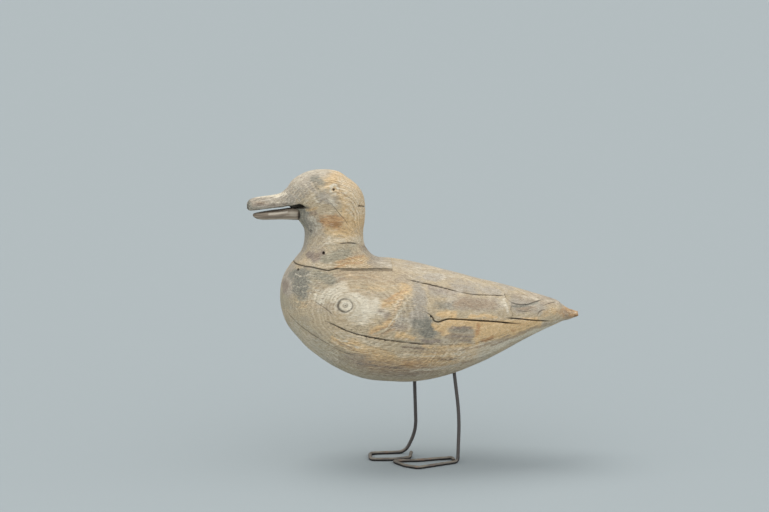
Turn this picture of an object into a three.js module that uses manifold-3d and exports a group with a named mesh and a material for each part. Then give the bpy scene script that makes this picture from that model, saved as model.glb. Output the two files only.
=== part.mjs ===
// A carved gull decoy, life size, standing on two bent wire legs. The body is one block of
// softwood. Head, neck and upper bill are a second block let into a flat seat on its back, and
// the lower bill is a small separate slat socketed under the mouth. Units are millimetres, +Z is
// up, the bird faces -X, and the origin lies on the ground under the middle of its bounding box.
import * as THREE from 'three';
import { mergeVertices } from 'three/addons/utils/BufferGeometryUtils.js';
import Module from 'manifold-3d';

const wasm = await Module();
wasm.setup();

// Driving dimensions.
const AROUND = 30; // sides of every carved cross-section
const RING_GAP = 9; // longest step between two cross-sections
const FIT_GAP = 0.35; // clearance between pieces that touch
const WIRE_RADIUS = 1.885; // nine gauge wire
const WIRE_SIDES = 8;
const WIRE_STEP = 4.4; // length of one step along a wire
const WIRE_FLAT = 0.15; // depth worn off under the feet
const SOCKET_DEPTH = 22; // how far a leg runs up into the body
const MOUTH_WALL = 7; // thickness of the wall between the two sides of the mouth
const EYE = { x: -88.4, z: 299, radius: 1.2, depth: 4 };

// Cross-sections of the bird from the tail tip to the tip of the upper bill. Each one lies in
// the plane through a point on the back line and a point on the belly line.
// back x, back z, belly x, belly z, half width, height of the widest place (0 belly, 1 back),
// squareness of the belly half (2 is an ellipse)
const BIRD = [
  [178.5, 158.6, 178.5, 153.4, 3.2, 0.5, 2],
  [170.5, 161.4, 170.3, 150.8, 7.5, 0.5, 2],
  [161.8, 166.6, 161.2, 148.8, 11.0, 0.45, 2],
  [156.4, 171.2, 155.4, 146.4, 15.5, 0.5, 2],
  [143.0, 176.2, 143.0, 141.2, 21.5, 0.5, 2],
  [123.0, 182.0, 123.0, 131.8, 29.0, 0.5, 2],
  [97.0, 189.8, 97.0, 118.2, 38.0, 0.5, 2.1],
  [64.0, 198.6, 64.0, 103.3, 47.5, 0.5, 2.15],
  [31.5, 207.4, 31.5, 92.6, 54.5, 0.5, 2.2],
  [-1.0, 216.4, -1.0, 87.2, 58.2, 0.5, 2.2],
  [-25.0, 220.6, -27.0, 88.1, 59.0, 0.49, 2.2],
  [-37.0, 221.7, -53.2, 91.4, 59.0, 0.48, 2.2],
  [-44.4, 224.7, -80.0, 101.6, 58.0, 0.46, 2.2],
  [-48.9, 229.0, -103.4, 116.8, 55.5, 0.44, 2.2],
  [-52.0, 233.4, -123.4, 134.6, 51.5, 0.42, 2.15],
  [-53.6, 236.8, -139.6, 158.0, 46.5, 0.4, 2.1],
  [-54.2, 239.5, -144.2, 182.0, 41.5, 0.4, 2.1],
  [-54.7, 242.2, -140.2, 203.4, 36.5, 0.41, 2],
  [-54.9, 244.8, -129.6, 219.6, 32.0, 0.43, 2],
  [-55.1, 248.0, -121.2, 230.6, 28.6, 0.46, 2],
  [-54.9, 252.4, -117.9, 241.0, 26.6, 0.48, 2],
  [-54.1, 258.8, -117.6, 251.4, 25.8, 0.5, 2],
  [-53.0, 268.0, -120.6, 259.4, 25.8, 0.5, 2],
  [-53.0, 278.6, -124.2, 264.6, 26.4, 0.52, 2.1],
  [-55.2, 290.4, -124.4, 268.4, 27.0, 0.55, 2.2],
  [-61.6, 300.6, -124.4, 272.4, 27.0, 0.57, 2.3],
  [-70.6, 308.1, -124.8, 275.0, 26.4, 0.57, 2.4],
  [-81.8, 315.2, -126.6, 276.2, 25.2, 0.56, 2.5],
  [-95.4, 318.0, -129.4, 276.8, 22.8, 0.55, 2.6],
  [-109.0, 316.6, -132.2, 277.6, 19.6, 0.54, 2.8],
  [-121.4, 312.4, -133.8, 279.2, 16.0, 0.5, 3],
  [-129.8, 306.2, -136.4, 279.5, 13.0, 0.45, 3.2],
  [-135.8, 298.8, -141.2, 278.5, 10.8, 0.4, 3.4],
  [-142.2, 293.6, -146.6, 278.2, 9.6, 0.38, 3.5],
  [-151.8, 291.2, -154.2, 277.4, 8.9, 0.38, 3.5],
  [-162.4, 290.0, -162.6, 276.4, 8.2, 0.38, 3.5],
  [-170.8, 288.6, -171.0, 275.4, 7.2, 0.4, 3.2],
  [-175.8, 286.6, -176.2, 275.4, 5.8, 0.42, 3],
  [-178.4, 283.0, -178.5, 277.0, 3.6, 0.5, 2],
];

// The lower bill, from its tip to its socket in the head. Its underside is the back line and its
// flat top the belly line, the squared half.
const LOWER_BILL = [
  [-172.2, 268.8, -172.2, 271.2, 2.4, 0.5, 2],
  [-169.2, 266.4, -169.4, 272.2, 4.6, 0.45, 3],
  [-163.2, 264.9, -163.2, 273.0, 6.0, 0.4, 4],
  [-152.8, 264.8, -152.8, 274.4, 6.8, 0.38, 4],
  [-143.4, 264.9, -143.4, 275.4, 7.2, 0.38, 4],
  [-133.8, 264.5, -133.8, 276.8, 7.5, 0.38, 4],
  [-124.6, 264.0, -124.6, 277.1, 7.6, 0.38, 4],
  [-120.6, 263.9, -120.6, 276.7, 7.4, 0.38, 4],
];

// Underside of the neck block, front to back, as x and z; it ends at an upright butt joint.
const NECK_SEAT = [
  [-150, 221.6],
  [-127, 219.2],
  [-113, 219],
  [-95.5, 215.7],
  [-86, 217.6],
  [-26, 213.8],
];

// The mouth, a saw cut from each side that opens into a wedge at its corner, as x and z. A wall of
// wood is left between the two cuts.
const MOUTH = [
  [-134.4, 276.6],
  [-134.4, 279.9],
  [-130.5, 281.9],
  [-123.7, 284.1],
  [-120.4, 282.8],
  [-116.6, 279.9],
  [-120, 278.3],
  [-128, 277.6],
];

// Wire routes. Each corner is x, y, z and the radius that the wire is bent to there.
const FOOT_Z = WIRE_RADIUS - WIRE_FLAT;
const FAR_LEG = [
  [1.1, 8.4, 83 + SOCKET_DEPTH, 0],
  [1.9, 10, 83, 30],
  [4.2, 14.4, 26.5, 60],
  [-7.2, 17.6, FOOT_Z, 14],
  [-46.4, 16.4, FOOT_Z, 7],
  [-48.4, -9.6, FOOT_Z, 7],
  [-21, -11.6, FOOT_Z, 20],
  [-4.8, -5, FOOT_Z, 5],
  [-2, 5, FOOT_Z + 3.4, 0],
];
const NEAR_LEG = [
  [41, -8, 97 + SOCKET_DEPTH, 0],
  [42.2, -12, 97, 30],
  [47, -20.6, 50, 250],
  [44.5, -28, FOOT_Z, 5],
  [-0.6, -48, FOOT_Z, 5],
  [-14, -38.5, FOOT_Z, 15],
  [-25, -18.6, FOOT_Z, 3.4],
  [4, -18.2, FOOT_Z, 40],
  [40.4, -11.4, FOOT_Z, 3.4],
  [41.4, -20.4, FOOT_Z, 0],
];

/** Squares a cosine or sine off, so that an ellipse becomes a rounded box. */
function squared(value, power) {
  return Math.sign(value) * Math.abs(value) ** (2 / power);
}

/** One ring of points for a cross-section given as a back point, a belly point and a shape. */
function crossSection(back, belly, shape, grow) {
  const [halfWidth, widest, square] = shape.toArray();
  const reach = belly.clone().sub(back).normalize().multiplyScalar(grow);
  const top = back.clone().sub(reach);
  const bottom = belly.clone().add(reach);
  const ring = [];
  for (let i = 0; i < AROUND; i += 1) {
    const angle = (2 * Math.PI * i) / AROUND;
    const power = Math.cos(angle) > 0 ? square : 2;
    const even = (1 - squared(Math.cos(angle), power)) / 2;
    const height = even + 4 * (widest - 0.5) * even * (1 - even);
    const point = bottom.clone().lerp(top, height);
    point.y = (halfWidth + grow) * squared(Math.sin(angle), power);
    ring.push(point);
  }
  return ring;
}

/** A closed skin over rows of cross-sections, made bigger all over by grow. */
function carved(rows, grow = 0) {
  const line = (pick) => new THREE.CatmullRomCurve3(rows.map(pick), false, 'centripetal');
  const back = line((r) => new THREE.Vector3(r[0], 0, r[1]));
  const belly = line((r) => new THREE.Vector3(r[2], 0, r[3]));
  const shape = line((r) => new THREE.Vector3(r[4], r[5], r[6]));
  const rings = [];
  const addRing = (t) =>
    rings.push(crossSection(back.getPoint(t), belly.getPoint(t), shape.getPoint(t), grow));
  const spans = rows.length - 1;
  for (let i = 0; i < spans; i += 1) {
    const backStep = back.points[i].distanceTo(back.points[i + 1]);
    const bellyStep = belly.points[i].distanceTo(belly.points[i + 1]);
    const steps = Math.ceil(Math.max(backStep, bellyStep) / RING_GAP);
    for (let k = 0; k < steps; k += 1) addRing((i + k / steps) / spans);
  }
  addRing(1);
  return skin(rings);
}

/** Joins rings into one closed geometry with a flat fan over each end. */
function skin(rings) {
  const positions = rings.flat().flatMap((p) => p.toArray());
  const last = rings.length - 1;
  const ends = [0, last].map((r) => {
    const centre = new THREE.Vector3();
    rings[r].forEach((p) => centre.addScaledVector(p, 1 / AROUND));
    positions.push(...centre.toArray());
    return positions.length / 3 - 1;
  });
  const faces = [];
  for (let i = 0; i < AROUND; i += 1) {
    const j = (i + 1) % AROUND;
    for (let r = 0; r < last; r += 1) {
      const a = r * AROUND + i;
      const b = r * AROUND + j;
      faces.push(a, a + AROUND, b, b, a + AROUND, b + AROUND);
    }
    faces.push(ends[0], i, j);
    faces.push(ends[1], last * AROUND + j, last * AROUND + i);
  }
  const geometry = new THREE.BufferGeometry();
  geometry.setAttribute('position', new THREE.Float32BufferAttribute(positions, 3));
  geometry.setIndex(faces);
  return geometry;
}

/** A side outline of x and z points, extruded right across the bird. */
function acrossBird(outline, reach = 90) {
  const shape = new THREE.Shape(outline.map(([x, z]) => new THREE.Vector2(x, z)));
  const geometry = new THREE.ExtrudeGeometry(shape, { depth: 2 * reach, bevelEnabled: false });
  geometry.rotateX(Math.PI / 2);
  geometry.translate(0, reach, 0);
  return geometry;
}

/** Straight wire with rounded bends through a list of corners. */
function bentWire(corners) {
  const path = new THREE.CurvePath();
  const at = corners.map(([x, y, z]) => new THREE.Vector3(x, y, z));
  let from = at[0];
  for (let i = 1; i < at.length - 1; i += 1) {
    const before = at[i - 1].clone().sub(at[i]);
    const after = at[i + 1].clone().sub(at[i]);
    const turn = Math.PI - before.angleTo(after);
    const room = 0.48 * Math.min(before.length(), after.length());
    const trim = Math.min(corners[i][3] * Math.tan(turn / 2), room);
    const start = at[i].clone().addScaledVector(before.normalize(), trim);
    const end = at[i].clone().addScaledVector(after.normalize(), trim);
    path.add(new THREE.LineCurve3(from, start));
    path.add(new THREE.QuadraticBezierCurve3(start, at[i], end));
    from = end;
  }
  path.add(new THREE.LineCurve3(from, at.at(-1)));
  const steps = Math.round(path.getLength() / WIRE_STEP);
  const section = new THREE.Shape();
  for (let i = 0; i < WIRE_SIDES; i += 1) {
    const angle = (2 * Math.PI * i) / WIRE_SIDES;
    const corner = [WIRE_RADIUS * Math.cos(angle), WIRE_RADIUS * Math.sin(angle)];
    if (i === 0) section.moveTo(...corner);
    else section.lineTo(...corner);
  }
  section.closePath();
  return new THREE.ExtrudeGeometry(section, { steps, extrudePath: path, bevelEnabled: false });
}

/** A round bar between two points. */
function bar(from, to, radius, sides) {
  const along = to.clone().sub(from);
  const geometry = new THREE.CylinderGeometry(radius, radius, along.length(), sides);
  const turn = new THREE.Quaternion().setFromUnitVectors(
    new THREE.Vector3(0, 1, 0),
    along.clone().normalize(),
  );
  geometry.applyQuaternion(turn);
  geometry.translate(...from.clone().add(to).divideScalar(2).toArray());
  return geometry;
}

/** A three.js geometry as a solid that can be joined and cut. */
function solid(geometry) {
  const bare = geometry.clone();
  bare.deleteAttribute('normal');
  bare.deleteAttribute('uv');
  const merged = mergeVertices(bare, 1e-4);
  return new wasm.Manifold(
    new wasm.Mesh({
      numProp: 3,
      vertProperties: new Float32Array(merged.getAttribute('position').array),
      triVerts: new Uint32Array(merged.index.array),
    }),
  );
}

/** A solid as a named mesh. */
function piece(name, shape, material) {
  const cut = shape.getMesh();
  const geometry = new THREE.BufferGeometry();
  geometry.setAttribute('position', new THREE.BufferAttribute(cut.vertProperties, 3));
  geometry.setIndex(new THREE.BufferAttribute(cut.triVerts, 1));
  geometry.computeVertexNormals();
  const mesh = new THREE.Mesh(geometry, material);
  mesh.name = name;
  return mesh;
}

/** The side outline of the neck block, lowered and lengthened by gap. */
function neckOutline(gap) {
  const seat = NECK_SEAT.map(([x, z]) => [x, z - gap]);
  const butt = seat.at(-1)[0] + gap;
  seat[seat.length - 1] = [butt, seat.at(-1)[1]];
  return [...seat, [butt, 340], [-200, 340], [-200, seat[0][1]]];
}

/** A leg wire, worn flat where it stands on the ground. */
function leg(corners) {
  const underground = acrossBird([[-200, -20], [200, -20], [200, 0], [-200, 0]]);
  return solid(bentWire(corners)).subtract(solid(underground));
}

/** The drilled hole that the top of a leg goes into. */
function legSocket([top, mouth]) {
  const up = new THREE.Vector3(...top.slice(0, 3));
  const down = new THREE.Vector3(...mouth.slice(0, 3));
  const along = up.clone().sub(down).normalize();
  up.addScaledVector(along, FIT_GAP);
  down.addScaledVector(along, -12);
  return solid(bar(down, up, WIRE_RADIUS + FIT_GAP + 0.1, 16));
}

/** The mouth's two saw cuts, with the wall between them left standing. */
function mouthCuts() {
  const wall = acrossBird([[-200, 200], [0, 200], [0, 340], [-200, 340]], MOUTH_WALL / 2);
  return solid(acrossBird(MOUTH)).subtract(solid(wall));
}

/** Both eye holes, drilled in from the sides of the head. */
function eyeHoles() {
  const holes = [-1, 1].map((side) => {
    const outside = new THREE.Vector3(EYE.x, side * 40, EYE.z);
    const inside = new THREE.Vector3(EYE.x, side * (24.6 - EYE.depth), EYE.z);
    return solid(bar(outside, inside, EYE.radius, 10));
  });
  return holes[0].add(holes[1]);
}

const weatheredWood = new THREE.MeshStandardMaterial({
  name: 'weathered_wood',
  color: 0xb3a387,
  roughness: 0.9,
  metalness: 0,
});
const billWood = new THREE.MeshStandardMaterial({
  name: 'bill_wood',
  color: 0x8f8576,
  roughness: 0.85,
  metalness: 0,
});
const wire = new THREE.MeshStandardMaterial({
  name: 'leg_wire',
  color: 0x6a655f,
  roughness: 0.5,
  metalness: 0.85,
});

const bird = solid(carved(BIRD));
const head = bird
  .intersect(solid(acrossBird(neckOutline(0))))
  .subtract(mouthCuts())
  .subtract(solid(carved(LOWER_BILL, FIT_GAP)))
  .subtract(eyeHoles());
const body = bird
  .subtract(solid(acrossBird(neckOutline(FIT_GAP))))
  .subtract(legSocket(FAR_LEG))
  .subtract(legSocket(NEAR_LEG));

const decoy = new THREE.Group();
decoy.name = 'gull_decoy';
decoy.add(
  piece('body', body, weatheredWood),
  piece('head_and_neck', head, weatheredWood),
  piece('lower_bill', solid(carved(LOWER_BILL)), billWood),
  piece('far_leg', leg(FAR_LEG), wire),
  piece('near_leg', leg(NEAR_LEG), wire),
);

export default decoy;
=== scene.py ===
"""An old gull decoy, carved from two blocks of softwood and stood on two bent wires.

Shapes are in millimetres in the part's frame (the bird faces -X, +Z is up) and become metres when a
mesh is made. Marks on the wood are placed on the upright middle plane as it is seen from the side.
"""
import itertools
import math
from functools import partial

import bmesh
import bpy
import numpy as np
from bpy.props import FloatProperty, FloatVectorProperty, PointerProperty
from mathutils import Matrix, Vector


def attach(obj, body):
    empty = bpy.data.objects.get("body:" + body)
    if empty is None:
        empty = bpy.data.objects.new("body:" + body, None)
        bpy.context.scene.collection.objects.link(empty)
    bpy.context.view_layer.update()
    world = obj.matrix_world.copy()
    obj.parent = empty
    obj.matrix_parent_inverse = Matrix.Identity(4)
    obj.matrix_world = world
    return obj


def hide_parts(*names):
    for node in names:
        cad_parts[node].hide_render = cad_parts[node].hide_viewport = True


bl_info = {
    "name": "Weathered gull decoy",
    "version": (1, 0, 0),
    "blender": (4, 5, 0),
    "location": "View3D > Sidebar > Decoy",
    "description": "Carves, weathers and stands an old gull decoy on bent wire legs",
    "category": "Add Mesh",
}

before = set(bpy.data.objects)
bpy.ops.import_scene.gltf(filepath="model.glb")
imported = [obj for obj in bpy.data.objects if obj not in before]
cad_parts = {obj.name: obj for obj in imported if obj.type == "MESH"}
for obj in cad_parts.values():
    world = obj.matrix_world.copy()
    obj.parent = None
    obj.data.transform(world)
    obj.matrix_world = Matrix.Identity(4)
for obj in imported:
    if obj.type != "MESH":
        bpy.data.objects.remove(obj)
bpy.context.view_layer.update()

MM = 0.001
ROOT = "root"

# Cross-sections from the tail tip to the tip of the upper bill. Each one lies in the plane
# through a point on the back line and a point on the belly line.
# back x, back z, belly x, belly z, half width, height of the widest place (0 belly, 1 back),
# squareness of the belly half (2 is an ellipse)
BIRD = np.array([
    [178.5, 158.6, 178.5, 153.4, 3.2, 0.5, 2],
    [170.5, 161.4, 170.3, 150.8, 7.5, 0.5, 2],
    [161.8, 166.6, 161.2, 148.8, 11.0, 0.45, 2],
    [156.4, 171.2, 155.4, 146.4, 15.5, 0.5, 2],
    [143.0, 176.2, 143.0, 141.2, 21.5, 0.5, 2],
    [123.0, 182.0, 123.0, 131.8, 29.0, 0.5, 2],
    [97.0, 189.8, 97.0, 118.2, 38.0, 0.5, 2.1],
    [64.0, 198.6, 64.0, 103.3, 47.5, 0.5, 2.15],
    [31.5, 207.4, 31.5, 92.6, 54.5, 0.5, 2.2],
    [-1.0, 216.4, -1.0, 87.2, 58.2, 0.5, 2.2],
    [-25.0, 220.6, -27.0, 88.1, 59.0, 0.49, 2.2],
    [-37.0, 221.7, -53.2, 91.4, 59.0, 0.48, 2.2],
    [-44.4, 224.7, -80.0, 101.6, 58.0, 0.46, 2.2],
    [-48.9, 229.0, -103.4, 116.8, 55.5, 0.44, 2.2],
    [-52.0, 233.4, -123.4, 134.6, 51.5, 0.42, 2.15],
    [-53.6, 236.8, -139.6, 158.0, 46.5, 0.4, 2.1],
    [-54.2, 239.5, -144.2, 182.0, 41.5, 0.4, 2.1],
    [-54.7, 242.2, -140.2, 203.4, 36.5, 0.41, 2],
    [-54.9, 244.8, -129.6, 219.6, 32.0, 0.43, 2],
    [-55.1, 248.0, -121.2, 230.6, 28.6, 0.46, 2],
    [-54.9, 252.4, -117.9, 241.0, 26.6, 0.48, 2],
    [-54.1, 258.8, -117.6, 251.4, 25.8, 0.5, 2],
    [-53.0, 268.0, -120.6, 259.4, 25.8, 0.5, 2],
    [-53.0, 278.6, -124.2, 264.6, 26.4, 0.52, 2.1],
    [-55.2, 290.4, -124.4, 268.4, 27.0, 0.55, 2.2],
    [-61.6, 300.6, -124.4, 272.4, 27.0, 0.57, 2.3],
    [-70.6, 308.1, -124.8, 275.0, 26.4, 0.57, 2.4],
    [-81.8, 315.2, -126.6, 276.2, 25.2, 0.56, 2.5],
    [-95.4, 318.0, -129.4, 276.8, 22.8, 0.55, 2.6],
    [-109.0, 316.6, -132.2, 277.6, 19.6, 0.54, 2.8],
    [-121.4, 312.4, -133.8, 279.2, 16.0, 0.5, 3],
    [-129.8, 306.2, -136.4, 279.5, 13.0, 0.45, 3.2],
    [-135.8, 298.8, -141.2, 278.5, 10.8, 0.4, 3.4],
    [-142.2, 293.6, -146.6, 278.2, 9.6, 0.38, 3.5],
    [-151.8, 291.2, -154.2, 277.4, 8.9, 0.38, 3.5],
    [-162.4, 290.0, -162.6, 276.4, 8.2, 0.38, 3.5],
    [-170.8, 288.6, -171.0, 275.4, 7.2, 0.4, 3.2],
    [-175.8, 286.6, -176.2, 275.4, 5.8, 0.42, 3],
    [-178.4, 283.0, -178.5, 277.0, 3.6, 0.5, 2],
])
BODY_ROWS = slice(0, 20)
HEAD_ROWS = slice(9, None)

# The lower bill from its tip to its socket; its underside is the back line.
LOWER_BILL = np.array([
    [-172.2, 268.8, -172.2, 271.2, 2.4, 0.5, 2],
    [-169.2, 266.4, -169.4, 272.2, 4.6, 0.45, 3],
    [-163.2, 264.9, -163.2, 273.0, 6.0, 0.4, 4],
    [-152.8, 264.8, -152.8, 274.4, 6.8, 0.38, 4],
    [-143.4, 264.9, -143.4, 275.4, 7.2, 0.38, 4],
    [-133.8, 264.5, -133.8, 276.8, 7.5, 0.38, 4],
    [-124.6, 264.0, -124.6, 277.1, 7.6, 0.38, 4],
    [-120.6, 263.9, -120.6, 276.7, 7.4, 0.38, 4],
])

# Underside of the neck block, front to back, as x and z; it ends at an upright butt joint.
NECK_SEAT = [(-150, 221.6), (-127, 219.2), (-113, 219), (-95.5, 215.7), (-86, 217.6), (-26, 213.8)]
# The mouth, a saw cut from each side that opens into a wedge at its corner, as x and z. A wall of
# wood is left between the two cuts.
MOUTH = [(-134.4, 276.6), (-134.4, 279.9), (-130.5, 281.9), (-123.7, 284.1), (-120.4, 282.8),
         (-116.6, 279.9), (-120, 278.3), (-128, 277.6)]
MOUTH_WALL = 7

# Wire routes. Each corner is x, y, z and the radius that the wire is bent to there.
WIRE_RADIUS = 1.885
# The wire's middle where it lies on the floor, worn flat underneath by 0.15 mm.
FOOT_Z = WIRE_RADIUS - 0.15
FAR_LEG = [
    (1.1, 8.4, 105, 0),
    (1.9, 10, 83, 30),
    (4.2, 14.4, 26.5, 60),
    (-7.2, 17.6, FOOT_Z, 14),
    (-46.4, 16.4, FOOT_Z, 7),
    (-48.4, -9.6, FOOT_Z, 7),
    (-21, -11.6, FOOT_Z, 20),
    (-4.8, -5, FOOT_Z, 5),
    (-2, 5, FOOT_Z + 3.4, 0),
]
NEAR_LEG = [
    (41, -8, 119, 0),
    (42.2, -12, 97, 30),
    (47, -20.6, 50, 250),
    (44.5, -28, FOOT_Z, 5),
    (-0.6, -48, FOOT_Z, 5),
    (-14, -38.5, FOOT_Z, 15),
    (-25, -18.6, FOOT_Z, 3.4),
    (4, -18.2, FOOT_Z, 40),
    (40.4, -11.4, FOOT_Z, 3.4),
    (41.4, -20.4, FOOT_Z, 0),
]
LEGS = (FAR_LEG, NEAR_LEG)

# How many points go round each cross-section.
BODY_AROUND = 232
HEAD_AROUND = 220
BILL_AROUND = 96
WIRE_SIDES = 20

# The cutting solids reach beyond the whole bird: to each side, up, and past the bill.
ASIDE = 90
ABOVE = 340
AHEAD = -220

# Room under the neck block, round the wire in its hole and at the hole's worn mouth, and round the
# lower bill in its socket.
SEAT_GAP = 0.12
DRILL_GAP = 0.45
WORN_GAP = 1.2
SOCKET_GAP = 0.75

# The marks of one side reach this far past the middle plane.
PAST_MIDDLE = 6
# A distance that no mark reaches.
FAR_AWAY = 1e9

# The camera's place and aim, and the side that faces it and the side that doesn't.
STANDPOINT = np.array([-279.08, -2350.59, 640.12])
AIM = np.array([-32.02, 0, 223.36])
NEAR, FAR = 1, -1

# In metres: half the floor's width, how far off the lamps hang, and how high the rust climbs.
FLOOR_HALF = 14
LAMP_DISTANCE = 3
RUST_TOP = 0.03

# Drying splits: x and z along each, width and depth.
NEAR_SPLITS = [
    ([(-96, 153.7), (-84, 148), (-74, 142.9), (-60.7, 138.1), (-45.5, 134.3), (-29.3, 131.2),
      (-12, 128.6), (7.6, 126.1), (22, 125.4)], 1.0, 2.5),
    ([(16, 125.8), (35, 124.5), (57, 124.3), (72, 126.9), (85, 130.2), (97, 134.1),
      (108, 137.5)], 0.5, 0.4),
    ([(-138, 166.7), (-127.9, 154.4), (-113.4, 142.1), (-96.3, 130.7), (-76.4, 119.3),
      (-60, 114.5)], 0.6, 0.5),
    ([(-107.9, 175.9), (-94, 166.2), (-87.6, 160.1)], 0.6, 0.5),
    ([(-9, 197.8), (12.3, 192.4), (26.2, 188.9), (39.9, 185.2), (49.7, 182.2)], 0.9, 1.8),
    ([(49.7, 182.2), (67.7, 179.3), (87.2, 178.3), (98.3, 177.4)], 0.7, 1.2),
    ([(11.7, 162), (19.3, 156.2), (22.1, 151.2), (26.3, 150.1), (36, 152.8), (45.6, 152.6), (67.9, 150.7),
      (87.5, 149.1), (105.6, 147), (117, 146.2)], 1.2, 2.6),
    ([(100, 152.9), (116.8, 151.3), (130.7, 149.5), (148, 148.4)], 1.05, 2.0),
    ([(103, 171), (112, 168), (122, 167.4), (130, 169.6), (142, 173)], 0.75, 0.6),
    ([(134, 154), (137, 159), (144, 162)], 0.6, 0.5),
    ([(139, 165), (147, 168), (155, 169.6)], 0.6, 0.5),
    ([(112, 161), (121, 159.5), (128, 160.5)], 0.55, 0.4),
    ([(18.9, 101.5), (20, 108.5), (41, 107.8), (47, 112.5)], 0.5, 0.15),
    ([(-15, 123.5), (8, 121), (31, 119.8)], 0.6, 0.2),
    ([(-27, 97), (-18, 101.5), (-11, 103), (-2, 101.5), (6, 99.3)], 0.5, 0.15),
    ([(46, 116.8), (54, 119), (62, 122.8)], 0.5, 0.15),
    ([(-60, 131), (-38, 122), (-16, 117)], 0.45, 0.1),
    ([(-43, 139), (-34, 143), (-26, 148)], 0.45, 0.1),
    ([(-38, 137), (-30, 141), (-21, 147)], 0.45, 0.1),
]
FAR_SPLITS = [
    ([(-132, 150), (-104, 139), (-70, 131), (-34, 127), (4, 125), (40, 126)], 1.1, 2.4),
    ([(-60, 186), (-22, 183), (16, 178), (52, 173), (84, 170)], 0.9, 1.8),
    ([(58, 148), (92, 147), (126, 149), (150, 152)], 1.1, 2.0),
]
HEAD_NEAR_SPLITS = [
    ([(-79.8, 237.7), (-71.2, 238.2), (-62, 237.4)], 0.8, 1.2),
    ([(-94, 286.4), (-86.5, 277.8), (-79.6, 269.1), (-74.3, 263.1), (-70.5, 256.5)], 0.45, 0.5),
    ([(-61, 277.6), (-57.2, 277.9), (-50, 276.4)], 0.7, 1.2),
]
HEAD_FAR_SPLITS = [
    ([(-102, 283), (-90, 274), (-80, 262), (-75, 250)], 0.9, 1.4),
    ([(-96, 236), (-82, 234), (-68, 235)], 0.8, 1.0),
]
# Empty nail holes and the drilled eye: x, z, radius and depth.
BODY_HOLES = [(-124.7, 210.4, 1.0, 1.5), (18.4, 156.4, 1.0, 1.8)]
EYE_HOLE = (-86.4, 296.0, 1.05, 1.75)
HEAD_HOLES = [(-97.4, 228, 1.25, 1.9), (-110.9, 252, 1.1, 0.8), (-58.9, 277.9, 0.8, 1.2), EYE_HOLE]
# The worn ring round the eye: x, z and radius.
EYE_RING = (-87.2, 296.7, 3.28)
# The knot's ring: x and z of its middle, half its width and half its height.
KNOT = (-74.3, 170.2, 8.1, 6.9)
# Front edge of the lost flake on the side, x and z from low to high.
FLAKE_EDGE = [(106.1, 153), (106.8, 157), (104.9, 161.6), (106.2, 165.9), (104.6, 170.9), (101, 173.8),
              (98.3, 177.4)]
# The flame of grain that sweeps up behind the knot, x and z along it.
FLAME = [(-52, 139), (-32, 143), (-15, 157), (-10, 168)]

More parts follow.
